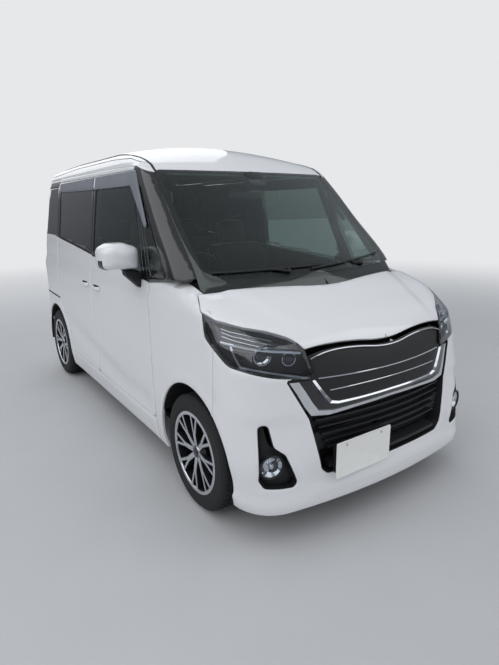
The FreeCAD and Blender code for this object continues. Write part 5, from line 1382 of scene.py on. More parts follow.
@dataclass
class FrontEnd:
    """The grille, chrome, lower opening, fog recesses, plate and cowl."""

    dot_pitch: float = 17.0
    dot_radius: float = 2.9
    slat_heights: tuple[float, ...] = (540.0, 508.0, 476.0, 444.0, 412.0)
    plate_centre: tuple[float, float, float] = (1694.2, -186.0, 363.5)
    fog_centre: tuple[float, float, float] = (1596.0, -612.0, 380.0)

    def build(self) -> None:
        """Build every piece between the lamps."""
        self.grille()
        self.chrome()
        self.fogs()
        self.plate()
        self.cowl()

    def grille(self) -> None:
        """The black mesh with its dots, the deep lower opening and its slats."""
        split = Region.of(
            FRONT, ((-700, 588, 0), (700, 588, 0), (700, 900, 0), (-700, 900, 0)), ahead=900.0
        )
        window = (-560, 560, 280, 860)
        clear = outside(BONNET, LAMP_OUTLINE, LAMP_MIRROR)
        mesh = Panel(
            NOSE, FRONT, (-560, 560, 280, 890), [MOUTH, split, BONNET, LAMP_OUTLINE, LAMP_MIRROR],
            lambda p: MOUTH.contains(p) & split.contains(p) & clear(p), depth=10, gap=0.2, roll=1, under=12, spacing=22,
        )
        back = Panel(
            NOSE, FRONT, window, [MOUTH, split], lambda p: MOUTH.contains(p) & ~split.contains(p), depth=8,
            gap=0.4, under=70, spacing=30
        )
        rim = MOUTH.loop[MOUTH.loop[:, 1] < 735]
        rim = np.roll(
            rim, -int(np.argmax(np.linalg.norm(np.diff(rim, axis=0, append=rim[:1]), axis=1))) - 1, axis=0
        )
        wall = strip(
            NOSE, FRONT, rim * 0.997 + np.array([0.0, 563.0]) * 0.003, ring_section(-78, -3, 1.6), step=18.0
        )
        shell = mesh.build().joined(back.build(), wall)
        for z in self.slat_heights:
            half = 356 + (z - 412) * 0.42
            shell = shell.joined(strip(NOSE, FRONT, [(-half, z), (half, z)], [(-4, -44), (4, -44), (3, -18), (-3, -18)], step=30.0))
        shell = shell.joined(strip(NOSE, FRONT, [(-352, 330), (352, 330)], [(-14, -60), (14, -60), (9, -8), (-9, -8)], step=30.0))
        dress("grille_mesh", shell, (GRAIN_BLACK,), "body", ("front_grille",))
        spots = []
        free = outside(LAMP_OUTLINE, LAMP_MIRROR, BONNET)
        rows = np.arange(602, 816, self.dot_pitch * 0.86)
        for k, z in enumerate(rows):
            half = float(np.interp(z, (556, 722, 742, 846), (446, 530, 470, 470))) - 14
            for y in np.arange(-half + (k % 2) * self.dot_pitch / 2, half, self.dot_pitch):
                line_one, line_two = 709 + 6 * (y / 387) ** 2, 660.0
                if min(abs(z - line_one), abs(z - line_two)) > 9 and not (abs(y) > 300 + (z - 600) * 0.6 and z < 722):
                    spots.append((y, z))
        flat = np.array(spots)
        space, met = FRONT.lift(flat, NOSE, 15.0)
        space = space[met & free(space)]
        turns = facing(NOSE.normals(space))
        stud = lathe(
            [
                (0, 2.2), (self.dot_radius * 0.7, 1.7), (self.dot_radius, 0.2), (self.dot_radius, -1.5),
                (0, -1.5)
            ],
            (0, 0, 0), (1, 0, 0), 8
        )
        studs = REPEAT.scatter(stud, space, turns, np.ones(len(space)), DARK_CHROME)
        dress("grille_studs", studs, (DARK_CHROME,), "body")

    def chrome(self) -> None:
        """The two thin lines, the line under the bonnet, and the faceted frame with its wings."""
        lines = []
        for half, low, high, wide in ((387, 709, 715, 6.0), (337, 662, 659, 5.0)):
            y = np.linspace(-half, half, 41)
            lines.append(strip(NOSE, FRONT, np.stack([y, low + (high - low) * (y / half) ** 2], axis=1), section(wide, 7), under=13))
        edge = BONNET.loop[(np.abs(BONNET.loop[:, 1]) < 428) & (BONNET.loop[:, 0] > 1560)]
        edge = edge[np.argsort(edge[:, 1])] + np.array([11.0, 0.0])
        lines.append(strip(NOSE, TOP, edge, section(6.0, 6.0), under=4, step=16.0))
        dress("grille_lines", lines[0].joined(*lines[1:]), (CHROME,), "body")
        top = np.array(
            [(-404, 714), (-384, 684), (-358, 648), (-332, 618), (-300, 610), (-200, 609), (0, 611)],
            dtype=float
        )
        low = np.array(
            [(-518, 713), (-490, 664), (-462, 606), (-436, 566), (-352, 556), (-200, 566), (0, 572)],
            dtype=float
        )
        top = np.concatenate([top, top[-2::-1] * (-1, 1)])
        low = np.concatenate([low, low[-2::-1] * (-1, 1)])
        steps = np.linspace(0, len(top) - 1, 73)
        upper = np.stack([np.interp(steps, np.arange(len(top)), top[:, i]) for i in (0, 1)], axis=1)
        lower = np.stack([np.interp(steps, np.arange(len(low)), low[:, i]) for i in (0, 1)], axis=1)
        rings = []
        places = (
            (0.0, 26.0), (0.02, 4.0), (0.16, -1.0), (0.2, 6.0), (0.6, 9.0), (0.64, 3.0), (0.97, 7.0),
            (1.0, 26.0)
        )
        for share, depth in places:
            flat = upper * (1 - share) + lower * share
            rings.append(FRONT.lift(flat, NOSE, depth)[0])
        cross = [np.stack([ring[k] for ring in rings]) for k in range(len(steps))]
        band = banded(loft(cross), (0, 0, 1, 2, 1, 0, 0, 1))
        dress(
            "chrome_frame_band", band, (CHROME, DARK_CHROME, GLOSS_BLACK), "body",
            ("chrome_frame",), sharp=12.0
        )

    def fogs(self) -> None:
        """The black recesses in the bumper's corners and their round lamps."""
        right = None
        recess = Panel(
            NOSE, FRONT, (-690, -500, 270, 580), [FOG], FOG.contains, depth=6, gap=0.3, under=34, spacing=12
        )
        wall = strip(NOSE, FRONT, FOG.loop, ring_section(-42, -2, 1.4), step=12.0, closed=True)
        right = recess.build().joined(wall)
        centre = np.array(self.fog_centre)
        axis = (0.96, -0.22, 0.0)
        bowl = lathe(
            [(0, -22), (30, -20), (44, -6), (50, 0), (50, -14), (34, -34), (0, -34)], centre, axis, 40,
            mark=1
        )
        rim = lathe([(46, -6), (52, -4), (53, 4), (49, 6), (46, 2)], centre, axis, 40, ring=True, mark=0)
        bulb = lathe([(0, -22), (11, -20), (12, -8), (8, -2), (0, 0)], centre, axis, 16, mark=1)
        lens = lathe([(0, 3), (26, 2), (46, -1), (46, -3), (26, 0), (0, 1)], centre, axis, 40, mark=2)
        right = right.joined(bowl, rim, bulb, lens)
        dress(
            "fog_recesses", right.joined(right.mirrored()), (GRAIN_BLACK, CHROME, LENS), "body",
            ("fog_lamps",)
        )

    def plate(self) -> None:
        """The blank front plate with its rim, holes' bolts and holder."""
        x, y, z = self.plate_centre
        dress(
            "front_plate", number_plate(x, y, z, 1.0), (PLATE_ENAMEL, MACHINED), "body",
            ("plate_front",)
        )
        holder = pad_block((x - 20, y, z), (18, 150, 66), 5, 3)
        arms = [beam((x - 30, y + s, z), (x - 90, y + s, z), 30, 20) for s in (-90, 90)]
        dress("plate_holder", holder.joined(*arms), (GRAIN_BLACK,), "body")

    def cowl(self) -> None:
        """The black cowl between the bonnet and the glass, with its rows of slots drawn as small bars of painted shade.
        """
        y = np.linspace(-632, 632, 85)
        foot = FRONT.lift(np.stack([y, np.full(len(y), 1024.0)], axis=1), CABIN, 0)[0][:, 0] + 3
        ahead = 1123.5 + 148.0 * np.clip(1 - (np.abs(y) / 668) ** 1.25, 0, 1) - 8
        rows = []
        for share, depth in ((0.0, 12.0), (0.15, 9.0), (0.5, 12.0), (0.8, 10.0), (1.0, 11.0)):
            x = ahead * (1 - share) + foot * share
            flat = np.stack([x, y], axis=1)
            rows.append(TOP.lift(flat, NOSE, depth)[0])
        panel = slab(np.array(rows), (0, 0, -7))
        spots = np.arange(-560, 561, 16.0)
        slots = []
        for share in (0.45, 0.6):
            xs = np.interp(spots, y, ahead * (1 - share) + foot * share)
            slots.append(TOP.lift(np.stack([xs, spots], axis=1), NOSE, 10.5)[0])
        points = np.concatenate(slots)
        # The slots are not cut: each is a small dark bar in the matt black that paints the shade inside it
        bar = pad_block((0, 0, 0), (6.5, 2.6, 1.6), 0.8, 1)
        slot_shade = REPEAT.scatter(
            bar, points, np.zeros((len(points), 3)), np.ones(len(points)), SHADOW_BLACK, 1
        )
        dress(
            "cowl_cover", panel.joined(slot_shade), (GRAIN_BLACK, SHADOW_BLACK), "body", ("cowl",)
        )


def number_plate(x: float, y: float, z: float, forward: float) -> Shell:
    """A blank plate with a raised rim and two bolt heads."""
    def outline(shrink: float, out: float) -> Points:
        """A rounded rectangle at a place along X."""
        flat = rounded([(-165, -82.5, 8), (165, -82.5, 8), (165, 82.5, 8), (-165, 82.5, 8)], 4.0)
        flat = flat * np.array([1 - shrink / 165, 1 - shrink / 82.5])
        return np.stack([np.full(len(flat), x + forward * out), y + flat[:, 0], z + flat[:, 1]], axis=1)

    rings = [outline(1, -0.8), outline(0, -0.2), outline(0.5, 0.9), outline(4, 1.0)]
    inner = rings[3] + (np.array([x, y, z]) - rings[3]) * np.array([0, 0.016, 0.03])
    inner[:, 0] = x + forward * 0.3
    sheet = loft(rings + [inner])
    bolts = [
        lathe(
            [(0, 1.5), (5, 1.4), (7, 0.6), (7, 0.0), (0, 0.0)], (x, y + s, z + 62.5), (forward, 0, 0), 14,
            mark=1
        ) for s in (-105, 105)
    ]
    return sheet.joined(*bolts)


@dataclass
class Headlamp:
    """One multi-part headlamp, drawn on the right and mirrored."""

    chrome_bar: tuple = ((253, 870), (350, 862), (470, 846), (587, 829))
    light_guide: tuple = ((298, 860), (314, 821), (339, 782), (429, 770), (540, 745), (630, 721))
    projector: tuple[float, float] = (427.0, 820.0)
    second: tuple[float, float] = (532.0, 804.0)

    def build(self) -> None:
        """Build both lamps."""
        back = Panel(
            NOSE, LAMP, (160, 660, 700, 1000), [LAMP_OUTLINE], LAMP_OUTLINE.contains, depth=5, gap=1.5,
            under=44, spacing=16
        )
        wall = strip(NOSE, LAMP, LAMP_OUTLINE.loop, ring_section(-50, -2, 1.2), step=14.0, closed=True)
        lens = Panel(
            NOSE, LAMP, (160, 660, 700, 1000), [LAMP_OUTLINE], LAMP_OUTLINE.contains, depth=3, gap=1.2,
            roll=3, under=0.6, spacing=18
        ).build((0, 0))
        black = back.build().joined(wall)
        bright = strip(
            NOSE, LAMP, self.chrome_bar, [(-6, -26), (6, -26), (5, -12), (0, -9), (-5, -12)], step=10.0
        )
        guide = strip(NOSE, LAMP, self.light_guide, [(-5, -24), (5, -24), (4, -12), (-4, -12)], step=8.0)
        second_bar = [(s + 8, z - 14) for s, z in self.chrome_bar]
        shelf = strip(NOSE, LAMP, second_bar, [(-9, -44), (9, -44), (3, -16), (-7, -16)], step=10.0)
        upper = []
        for rise in (24, 40, 56):
            line = [(s, z + rise * (1 - 0.35 * (s - 253) / 334)) for s, z in self.chrome_bar]
            upper.append(strip(NOSE, LAMP, line[:3], [(-1.6, -40), (1.6, -40), (1.2, -22), (-1.2, -22)], step=12.0))
        pods, lenses = [], []
        for (s, z), radius in ((self.projector, 34.0), (self.second, 27.0)):
            centre = lifted(LAMP, s, z, NOSE, 30.0)
            axis = (0.95, -0.3, -0.02)
            pods.append(lathe([
                (radius * 0.6, -20), (radius * 0.66, -6), (radius * 0.95, 2), (radius, 9), (radius * 1.08, 9), (radius * 1.1, -20),
            ], centre, axis, 36, ring=True))
            dome = [
                (
                    radius * 0.62 * math.cos(a), -8 + radius * 0.5 * math.sin(a)
                ) for a in np.linspace(0, math.pi / 2, 7)
            ]
            dome[-1] = (0, dome[-1][1])
            lenses.append(lathe(dome + [(0, -12), (radius * 0.62, -12)][::1], centre, axis, 36))
        parts = (
            ("housing", black.joined(shelf), (GLOSS_BLACK,), "black_trim"),
            ("bright", bright.joined(guide, *upper, *pods), (CHROME,), "chrome"),
            ("bulbs", lenses[0].joined(*lenses[1:]), (SMOKED_LENS,), "lamp_clear"),
            ("lens", lens, (LENS,), "lamp_clear"),
        )
        for name, shell, finish, slot in parts:
            for side, made in (("right", shell), ("left", shell.mirrored())):
                taken = (f"headlamp_{side}",) if name == "housing" else ()
                dress(f"headlamp_{name}_{side}", made, finish, "body", taken)


@dataclass
class Outfit:
    """The small outside pieces: visors, ditches, wipers, antenna, mirrors, handles."""

    visor_low: float = 1512.0
    handle_length: float = 150.0

    def build(self) -> None:
        """Build all the small outside pieces."""
        self.visors()
        self.joints()
        self.wipers()
        self.antenna()
        self.mirrors()
        self.handles()
        self.screen_border()

    def visors(self) -> None:
        """The smoked rain visors over both side windows."""
        front = Region.of(
            SIDE,
            (
                (-236, 1514, 14), (404, 1514, 60), (640, 1296, 20), (652, 1318, 10), (452, 1594, 60),
                (-236, 1594, 6)
            ),
            10.0
        )
        rear = Region.of(
            SIDE, ((-1116, 1522, 30), (-252, 1514, 14), (-252, 1594, 6), (-1112, 1592, 10)), 10.0
        )
        for name, region, window, body in (
            ("front", front, (-250, 660, 1290, 1600), True),
            ("rear", rear, (-1130, -240, 1500, 1600), False)
        ):
            panel = Panel(
                CABIN, SIDE, window, [region], region.contains, depth=7, gap=0.2, roll=4, under=-9.0,
                spacing=20
            )
            for side, shell in zip(("right", "left"), paired(panel)):
                dress(
                    f"visor_{name}_{side}", shell, (VISOR_ACRYLIC,),
                    f"front_door_{side}" if body else "body"
                )

    def joints(self) -> None:
        """The roof's ditches and joints, the seam seals, and the slide rail's groove as a flat strip of painted shade.
        """
        ditch = strip(
            CABIN, ROOF_BARREL, self.barrel_line(-574, 540, -566, -1440), section(13, 1.4), under=0.2,
            step=30.0
        )
        # The slide rail's groove is not cut: a raised flat strip in the matt black paints its shade; the thin line
        # along the roof's side is a dark joint
        groove = strip(
            CABIN, SIDE, [(-1146, 693), (-1400, 699), (-1606, 706)], section(12, 1.2), under=0.2, step=20.0
        )
        line = strip(
            CABIN, SIDE, [(470, 1628), (300, 1664), (0, 1676), (-700, 1676), (-1440, 1650)],
            section(3, 0.8), under=0.2, step=24.0
        )
        belt = strip(CABIN, SIDE, [(-1116, 1188), (-252, 1112)], section(10, 2.4), under=0.2, step=24.0)
        belt_front = strip(CABIN, SIDE, [(-232, 1106), (596, 1040)], section(10, 2.4), under=0.2, step=24.0)
        for name, shell, finish, bodies in (
            ("roof_ditch", ditch, SEAL_RUBBER, "body"), (
                "rail_groove", groove.joined(line), SHADOW_BLACK, "body"
            ),
            ("belt_seal_rear", belt, SEAL_RUBBER, "body"), (
                "belt_seal_front", belt_front, SEAL_RUBBER, "front_door"
            ),
        ):
            for side, made in (("right", shell), ("left", shell.mirrored())):
                dress(
                    f"{name}_{side}", made, (finish,), bodies if bodies == "body" else f"front_door_{side}",
                )

    def barrel_line(self, y0: float, x0: float, y1: float, x1: float) -> Points:
        """A straight line in plan in the roof's drawing plane."""
        x = np.linspace(x0, x1, 40)
        y = np.linspace(y0, y1, 40)
        space = TOP.lift(np.stack([x, y], axis=1), CABIN, 0)[0]
        return ROOF_BARREL.flatten(space)

    def wipers(self) -> None:
        """Both wipers: blade, spine, arm and capped pivot."""
        shells = []
        for pivot_y, inner_y, outer_y, pivot_z, inner_z, outer_z in (
            (330.0, -60.0, 560.0, 1094.0, 1096.0, 1128.0), (-190.0, -560.0, 20.0, 1094.0, 1102.0, 1110.0),
        ):
            mid = ((inner_y + outer_y) / 2, (inner_z + outer_z) / 2)
            blade = [(inner_y, inner_z), mid, (outer_y, outer_z)]
            shells.append(strip(CABIN, FRONT, blade, [(-1.2, 0), (1.2, 0), (2.5, 4), (4.5, 8), (-4.5, 8), (-2.5, 4)], under=-0.8, step=24.0))
            arm = [
                (pivot_y, pivot_z), (pivot_y * 0.5 + mid[0] * 0.5, pivot_z * 0.5 + mid[1] * 0.5 + 2), mid
            ]
            taper = np.linspace(1.5, 0.8, len(resampled(np.array(arm, dtype=float), 24.0)))
            shells.append(strip(CABIN, FRONT, arm, section(9, 5), under=-8.4, step=24.0, scale=taper))
            centre = lifted(FRONT, pivot_y, pivot_z, CABIN, 0)
            axis = CABIN.normals(centre[None])[0]
            shells.append(lathe([(0, 14), (7, 13.5), (10, 10), (11, 0), (0, 0)], centre, axis, 20))
        dress("wiper_set", shells[0].joined(*shells[1:]), (GRAIN_BLACK,), "body", ("wipers",))

    def antenna(self) -> None:
        """The roof antenna: a teardrop foot and a tapered whip."""
        rings = []
        for share in np.linspace(0, 1, 9):
            x = -782 + share * 118
            size = math.sqrt(max(0.05, 1 - (2 * share - 1) ** 2)) * (0.75 + 0.25 * share)
            angle = np.linspace(0, 2 * math.pi, 17)[:-1]
            rings.append(np.stack([np.full(16, x), 17 * size * np.cos(angle), 1772 + 24 * size * np.maximum(np.sin(angle), -0.2)], axis=1))
        foot = loft(rings)
        path = np.linspace((-766, 0, 1788), (-577, 0, 1822), 10)
        whip = sweep(
            path, np.tile((0.0, 0.0, 1.0), (10, 1)), round_section(4.2, 10), scale=np.linspace(1, 0.6, 10)
        )
        dress("roof_antenna", foot.joined(whip), (GRAIN_BLACK,), "body", ("antenna",))

    def mirrors(self) -> None:
        """Folding door mirrors: white housing, silvered glass, indicator strip and black foot."""
        flat = rounded(
            [
                (-726, 1096, 14), (-726, 1206, 34), (-800, 1231, 60), (-880, 1230, 60), (-930, 1204, 40),
                (-930, 1112, 34), (-900, 1096, 30)
            ],
            7.0
        )
        middle = np.array([-828.0, 1160.0])
        rows = (
            (549, 0.955), (546, 0.985), (552, 1.0), (580, 0.995), (606, 0.97), (628, 0.92), (646, 0.82),
            (658, 0.68), (665, 0.48), (668, 0.2)
        )
        rings = []
        for x, size in rows:
            spread = middle + (flat - middle) * size
            rings.append(np.stack([np.full(len(flat), x), spread[:, 0], spread[:, 1]], axis=1))
        shell = loft(rings)
        count = len(flat)
        dark = (flat[:, 1] < 1150) & (flat[:, 0] < -812)
        for k in range(len(rows) - 1):
            for i in range(count):
                if k in (3, 4) and dark[i]:
                    shell.marks[k * count + i] = 1
        glass_rings = []
        for x, size in ((547, 0.93), (544.5, 0.93), (544.2, 0.9)):
            spread = middle + (flat - middle) * size
            glass_rings.append(np.stack([np.full(len(flat), x), spread[:, 0], spread[:, 1]], axis=1))
        glass = loft(glass_rings, mark=2)
        foot_flat = rounded(
            [
                (-700, 986, 10), (-722, 990, 20), (-800, 1066, 20), (-800, 1090, 4), (-742, 1090, 10),
                (-704, 1064, 10)
            ],
            6.0
        )
        foot = loft([np.stack([np.full(len(foot_flat), x), foot_flat[:, 0] * s + (1 - s) * -742, foot_flat[:, 1] * s + (1 - s) * 1050], axis=1)
                     for x, s in ((548, 0.86), (554, 1.0), (606, 1.0), (614, 0.8))])
        for side, made, base in (
            ("right", shell.joined(glass), foot), ("left", shell.joined(glass).mirrored(), foot.mirrored())
        ):
            dress(
                f"mirror_shell_{side}", made, (PEARL, GLOSS_BLACK, CHROME), f"mirror_{side}",
                (f"mirror_{side}",)
            )
            dress(f"mirror_foot_{side}", base, (GRAIN_BLACK,), f"front_door_{side}")

    def handles(self) -> None:
        """Pull handles, each with a flat strip of painted shade for its cup, and the keyholes."""
        for name, x, z, body in (("front", -132.0, 905.0, "front_door"), ("slide", -372.0, 905.0, "body")):
            bow_x = np.linspace(x - self.handle_length / 2, x + self.handle_length / 2, 21)
            base, _ = SIDE.lift(np.stack([bow_x, np.full(21, z)], axis=1), CABIN, 0)
            normal = CABIN.normals(base)
            lift = 19 * (1 - np.abs(np.linspace(-1, 1, 21)) ** 6)
            grip = sweep(
                base + normal * lift[:, None], normal,
                [(-11, -3), (11, -3), (12, 2), (7, 6), (-7, 6), (-12, 2)]
            )
            # The cup is not hollowed out: a thin flat strip in the matt black paints the shade inside it
            shade = strip(CABIN, SIDE, [(x - 52, z), (x + 52, z)], section(30, 0.9, 0.5), under=0.1, mark=1)
            spot = lifted(SIDE, x - self.handle_length / 2 - 16, z, CABIN, 0)
            lock = lathe([(0, 2.4), (7, 2.2), (9, 1.2), (9, -1), (0, -1)], spot, (0, -1, 0), 20, mark=2)
            shell = grip.joined(shade, lock)
            for side, made in (("right", shell), ("left", shell.mirrored())):
                dress(
                    f"handle_{name}_{side}", made, (PEARL, SHADOW_BLACK, DARK_CHROME),
                    body if body == "body" else f"{body}_{side}"
                )

    def screen_border(self) -> None:
        """The black ceramic border behind the windscreen, the sensor housing and the inside mirror."""
        clear = Region.of(
            FRONT, ((-590, 1078, 40), (590, 1078, 40), (556, 1572, 60), (-556, 1572, 60)), ahead=0.0
        )
        border = Panel(
            CABIN, FRONT, (-650, 650, 1000, 1600), [SCREEN, clear],
            lambda p: SCREEN.contains(p) & ~clear.contains(p), depth=1.2, gap=1.0, roll=0.3, under=6.4
        )
        sensor = lifted(FRONT, 0, 1540, CABIN, 34)
        pod = pad_block(sensor, (52, 62, 26), 14, 4, turn=52)
        stem = beam(tuple(sensor - (20, 0, 20)), tuple(sensor - (84, 0, 62)), 18, 14)
        glass = pad_block(sensor - (92, 0, 78), (13, 112, 32), 12, 5, turn=12)
        dress(
            "screen_border", border.build().joined(pod, stem, glass), (GLOSS_BLACK,), "body"
        )


@dataclass
class Wheel:
    """An eight-spoke alloy wheel with its tyre."""

    spokes: int = 8
    phase: float = 2.0
    blocks: int = 54

    def build(self) -> None:
        """Build all four wheels."""
        face, dark = self.rim()
        tyre = self.tyre()
        for end, x in (("front", FRONT_AXLE_X), ("rear", REAR_AXLE_X)):
            move = np.array([x, -TRACK_HALF, WHEEL_Z])
            for side in ("right", "left"):
                for name, shell, finish, slot, taken in (
                    (
                        "alloy", face.joined(dark), (MACHINED, DARK_ALLOY, CHROME), "alloy",
                        f"rim_{end}_{side}"
                    ),
                    ("tyre", tyre, (TYRE_RUBBER,), "tyre", f"tyre_{end}_{side}"),
                ):
                    made = Shell(shell.points + move, shell.faces, list(shell.marks))
                    made = made if side == "right" else made.mirrored()
                    dress(
                        f"{name}_{end}_{side}", made, finish, f"{end}_wheel_{side}", (taken,),
                        sharp=28.0
                    )

    def rim(self) -> tuple[Shell, Shell]:
        """The machined faces and the dark body of the wheel, about its centre."""
        lip = lathe(
            [(181, -74), (183, -79.5), (192, -80), (199, -78.5), (199.5, -73), (192, -71), (184, -70)],
            (0, 0, 0), (0, 1, 0), 96, ring=True
        )
        barrel = lathe([
            (181, -70), (176, -40), (172, 40), (181, 72), (196, 74), (198, 71), (186, 66), (178, 40), (182, -40), (187.5, -66),
        ], (0, 0, 0), (0, 1, 0), 72, ring=True, mark=1)
        hub = lathe(
            [(24, -60), (44, -62), (60, -58), (74, -50), (74, -34), (30, -30), (29, -50)], (0, 0, 0),
            (0, 1, 0), 48, ring=True, mark=1
        )
        cap = lathe(
            [(0, -71), (18, -70.5), (25, -68), (27, -63), (27, -56), (0, -56)], (0, 0, 0), (0, 1, 0), 40,
            mark=1
        )
        cap_ring = lathe(
            [(24, -66), (27.5, -66.5), (29, -62), (24, -60)], (0, 0, 0), (0, 1, 0), 40, ring=True
        )
        nut = lathe(
            [(0, -64), (6, -64), (8.5, -61), (8.5, -50), (0, -50)], (0, 0, 48), (0, 1, 0), 6, mark=0
        )
        nuts = REPEAT.spin(nut, (0, 0, 0), 4, CHROME, 45.0, mark=2)
        plates, webs = self.spoke()
        faces = REPEAT.spin(plates, (0, 0, 0), self.spokes, MACHINED, self.phase)
        bodies = REPEAT.spin(webs, (0, 0, 0), self.spokes, DARK_ALLOY, self.phase, mark=1)
        return lip.joined(faces, cap_ring, nuts), barrel.joined(hub, cap, bodies)

    def spoke(self) -> tuple[Shell, Shell]:
        """One spoke drawn along +Z: thin machined faces over a dark web."""
        plates, webs = [], []
        legs = (
            ((-12, 12), 30, (-11, 11), 98), ((-11, 1.5), 96, (-33, -21), 185),
            ((-1.5, 11), 96, (21, 33), 185)
        )

        def height(r: float) -> float:
            """The face's place along the axle at a radius."""
            return float(np.interp(r, (30, 60, 100, 150, 185), (-62, -68, -72.5, -75, -76)))

        for (a0, a1), r0, (b0, b1), r1 in legs:
            for grow, top, deep, store in ((0.0, 1.2, 2.0, plates), (3.0, 0.0, 26.0, webs)):
                rings = []
                for share in (0.0, 0.3, 0.65, 1.0):
                    r = r0 + (r1 - r0) * share
                    low, high = a0 + (b0 - a0) * share - grow, a1 + (b1 - a1) * share + grow
                    y = height(r) - top
                    rings.append(np.array([
                        (low, y, r), (high, y, r), (
                            high + grow * 0.6, y + deep, r
                        ), (low - grow * 0.6, y + deep, r),
                    ]))
                store.append(loft(rings))
        return plates[0].joined(*plates[1:]), webs[0].joined(*webs[1:])

    def tyre(self) -> Shell:
        """The tyre: sidewalls with their rings, a crowned tread and its blocks."""
        half = [
            (187, -63), (189, -70), (199, -74), (206, -77), (214, -79), (216, -80.2), (219, -80.4), (236, -81.6), (250, -80.8),
            (252, -81.4), (255, -80.6), (263, -77), (270, -71), (275, -62),
        ]
        tread = []
        for groove in (-34.0, 0.0, 34.0):
            tread += [
                (277, groove - 4.5), (271.5, groove - 3.5), (271.5, groove + 3.5), (277, groove + 4.5)
            ]
        profile = half + tread + [(r, -y) for r, y in reversed(half)]
        body = lathe(profile + [(183.5, 58), (183.5, -58)], (0, 0, 0), (0, 1, 0), 96, ring=True)
        parts = [body]
        for y, wide, lean in ((-52, 12.5, 0.35), (-17, 10.5, -0.3), (17, 10.5, 0.3), (52, 12.5, -0.35)):
            edge = 277.6 if abs(y) < 30 else 274.6
            block = Shell(np.array([
                (
                    -11 - lean * 6, y - wide, edge - 8
                ), (11 - lean * 6, y - wide, edge - 8), (11 + lean * 6, y + wide, edge - 8), (-11 + lean * 6, y + wide, edge - 8),
                (
                    -10 - lean * 6, y - wide + 1, 280.4 - abs(y) * 0.05
                ), (10 - lean * 6, y - wide + 1, 280.4 - abs(y) * 0.05),
                (10 + lean * 6, y + wide - 1, 280.4 - abs(y) * 0.05), (
                    -10 + lean * 6, y + wide - 1, 280.4 - abs(y) * 0.05
                ),
            ], dtype=float), [(3, 2, 1, 0), (4, 5, 6, 7), (0, 1, 5, 4), (1, 2, 6, 5), (2, 3, 7, 6), (3, 0, 4, 7)], [0] * 6)
            parts.append(REPEAT.spin(block, (0, 0, 0), self.blocks, TYRE_RUBBER, 1.7 * y / 17))
        return parts[0].joined(*parts[1:])


@dataclass
class CabinInterior:
    """What shows through the glass."""

    driver_y: float = -340.0

    def build(self) -> None:
        """Build the dashboard, wheel and seats."""
        self.dashboard()
        self.steering()
        self.seats()

    def dashboard(self) -> None:
        """A layered dashboard with a meter hood, a centre stack and vents."""
        y = np.linspace(-622, 622, 41)
        rings = []
        for across in y:
            hood = 16 * math.exp(-((across - self.driver_y) / 150) ** 2)
            rings.append(np.array([
                (592, across, 712), (584, across, 760), (574, across, 860), (584, across, 930), (
                    600, across, 962 + hood * 0.4
                ), (640, across, 986 + hood),
                (
                    700, across, 992 + hood
                ), (820, across, 996), (1010, across, 1004), (1120, across, 990), (1120, across, 984), (786, across, 960), (780, across, 712),
            ]))
        body = loft(rings)
        stack = pad_block((584, 0, 850), (22, 130, 96), 12, 5)
        screen = pad_block((565, 0, 884), (6, 102, 50), 4, 3, mark=1)
        vents = [pad_block((578, s, 905), (12, 52, 22), 8, 3, mark=1) for s in (-560, 560, -170, 170)]
        meter = pad_block((588, self.driver_y, 940), (16, 120, 30), 10, 4, mark=1)
        column = beam((474, self.driver_y, 976), (640, self.driver_y, 899), 62, 62)
        dress(
            "dash_body", body.joined(stack, screen, meter, column, *vents), (DASH_PLASTIC, GLOSS_BLACK),
            "body", ("dashboard",)
        )

    def steering(self) -> None:
        """The steering wheel with its rim, pad and spokes."""
        angle = np.linspace(0, 2 * math.pi, 65)[:-1]
        lean = math.radians(25.0)
        centre = np.array([455.0, self.driver_y, 985.0])
        up = np.array([math.sin(lean), 0.0, math.cos(lean)])
        side = np.array([0.0, 1.0, 0.0])
        axis = np.cross(side, up)
        path = centre + 171 * (np.cos(angle)[:, None] * side + np.sin(angle)[:, None] * up)
        rim = sweep(path, np.tile(axis, (64, 1)), round_section(13.5, 12), closed=True)
        pad = lathe([(0, 17), (34, 16), (50, 8), (54, -4), (44, -16), (0, -18)], centre, -axis, 36)
        arms = [
            beam(
                tuple(centre + a * 40), tuple(centre + a * 162), 30, 12, tuple(axis)
            ) for a in (side, -side, -up)
        ]
        dress(
            "wheel_rim", rim.joined(pad, *arms), (DASH_PLASTIC,), "steering_wheel",
            ("steering_wheel",)
        )

    def seats(self) -> None:
        """Padded front seats and the rear bench."""
        for kind, x, half, middles in (
            ("front", -60.0, 238.0, (-340.0, 340.0)), ("rear", -790.0, 290.0, (-296.0, 296.0))
        ):
            pads, bases = [], []
            for y in middles:
                pads.append(pad_block((x + 235, y, 548), (268, half - 6, 62), 42, 8, turn=-4, crown=12))
                pads.append(pad_block((x - 4, y, 846), (60, half - 10, 292), 44, 8, turn=-15.5, crown=14))
                pads.append(pad_block((x - 138, y, 1212), (40, half * 0.44, 84), 34, 6, turn=-12, crown=8))
                for s in (-1, 1):
                    pads.append(pad_block((x + 30, y + s * (half - 36), 830), (66, 30, 250), 26, 6, turn=-15.5, crown=6))
                bases.append(pad_block((x + 230, y, 410), (210, half - 30, 76), 18, 3))
                bases += [beam((x - 122, y + s, 1100), (x - 140, y + s, 1160), 11, 11) for s in (-52, 52)]
            made = dress(
                f"{kind}_seat_pads", pads[0].joined(*pads[1:]), (SEAT_CLOTH,), "body",
                ("front_seats",) if kind == "front" else ("rear_bench",)
            )
            dress(f"{kind}_seat_bases", bases[0].joined(*bases[1:]), (DASH_PLASTIC,), "body")


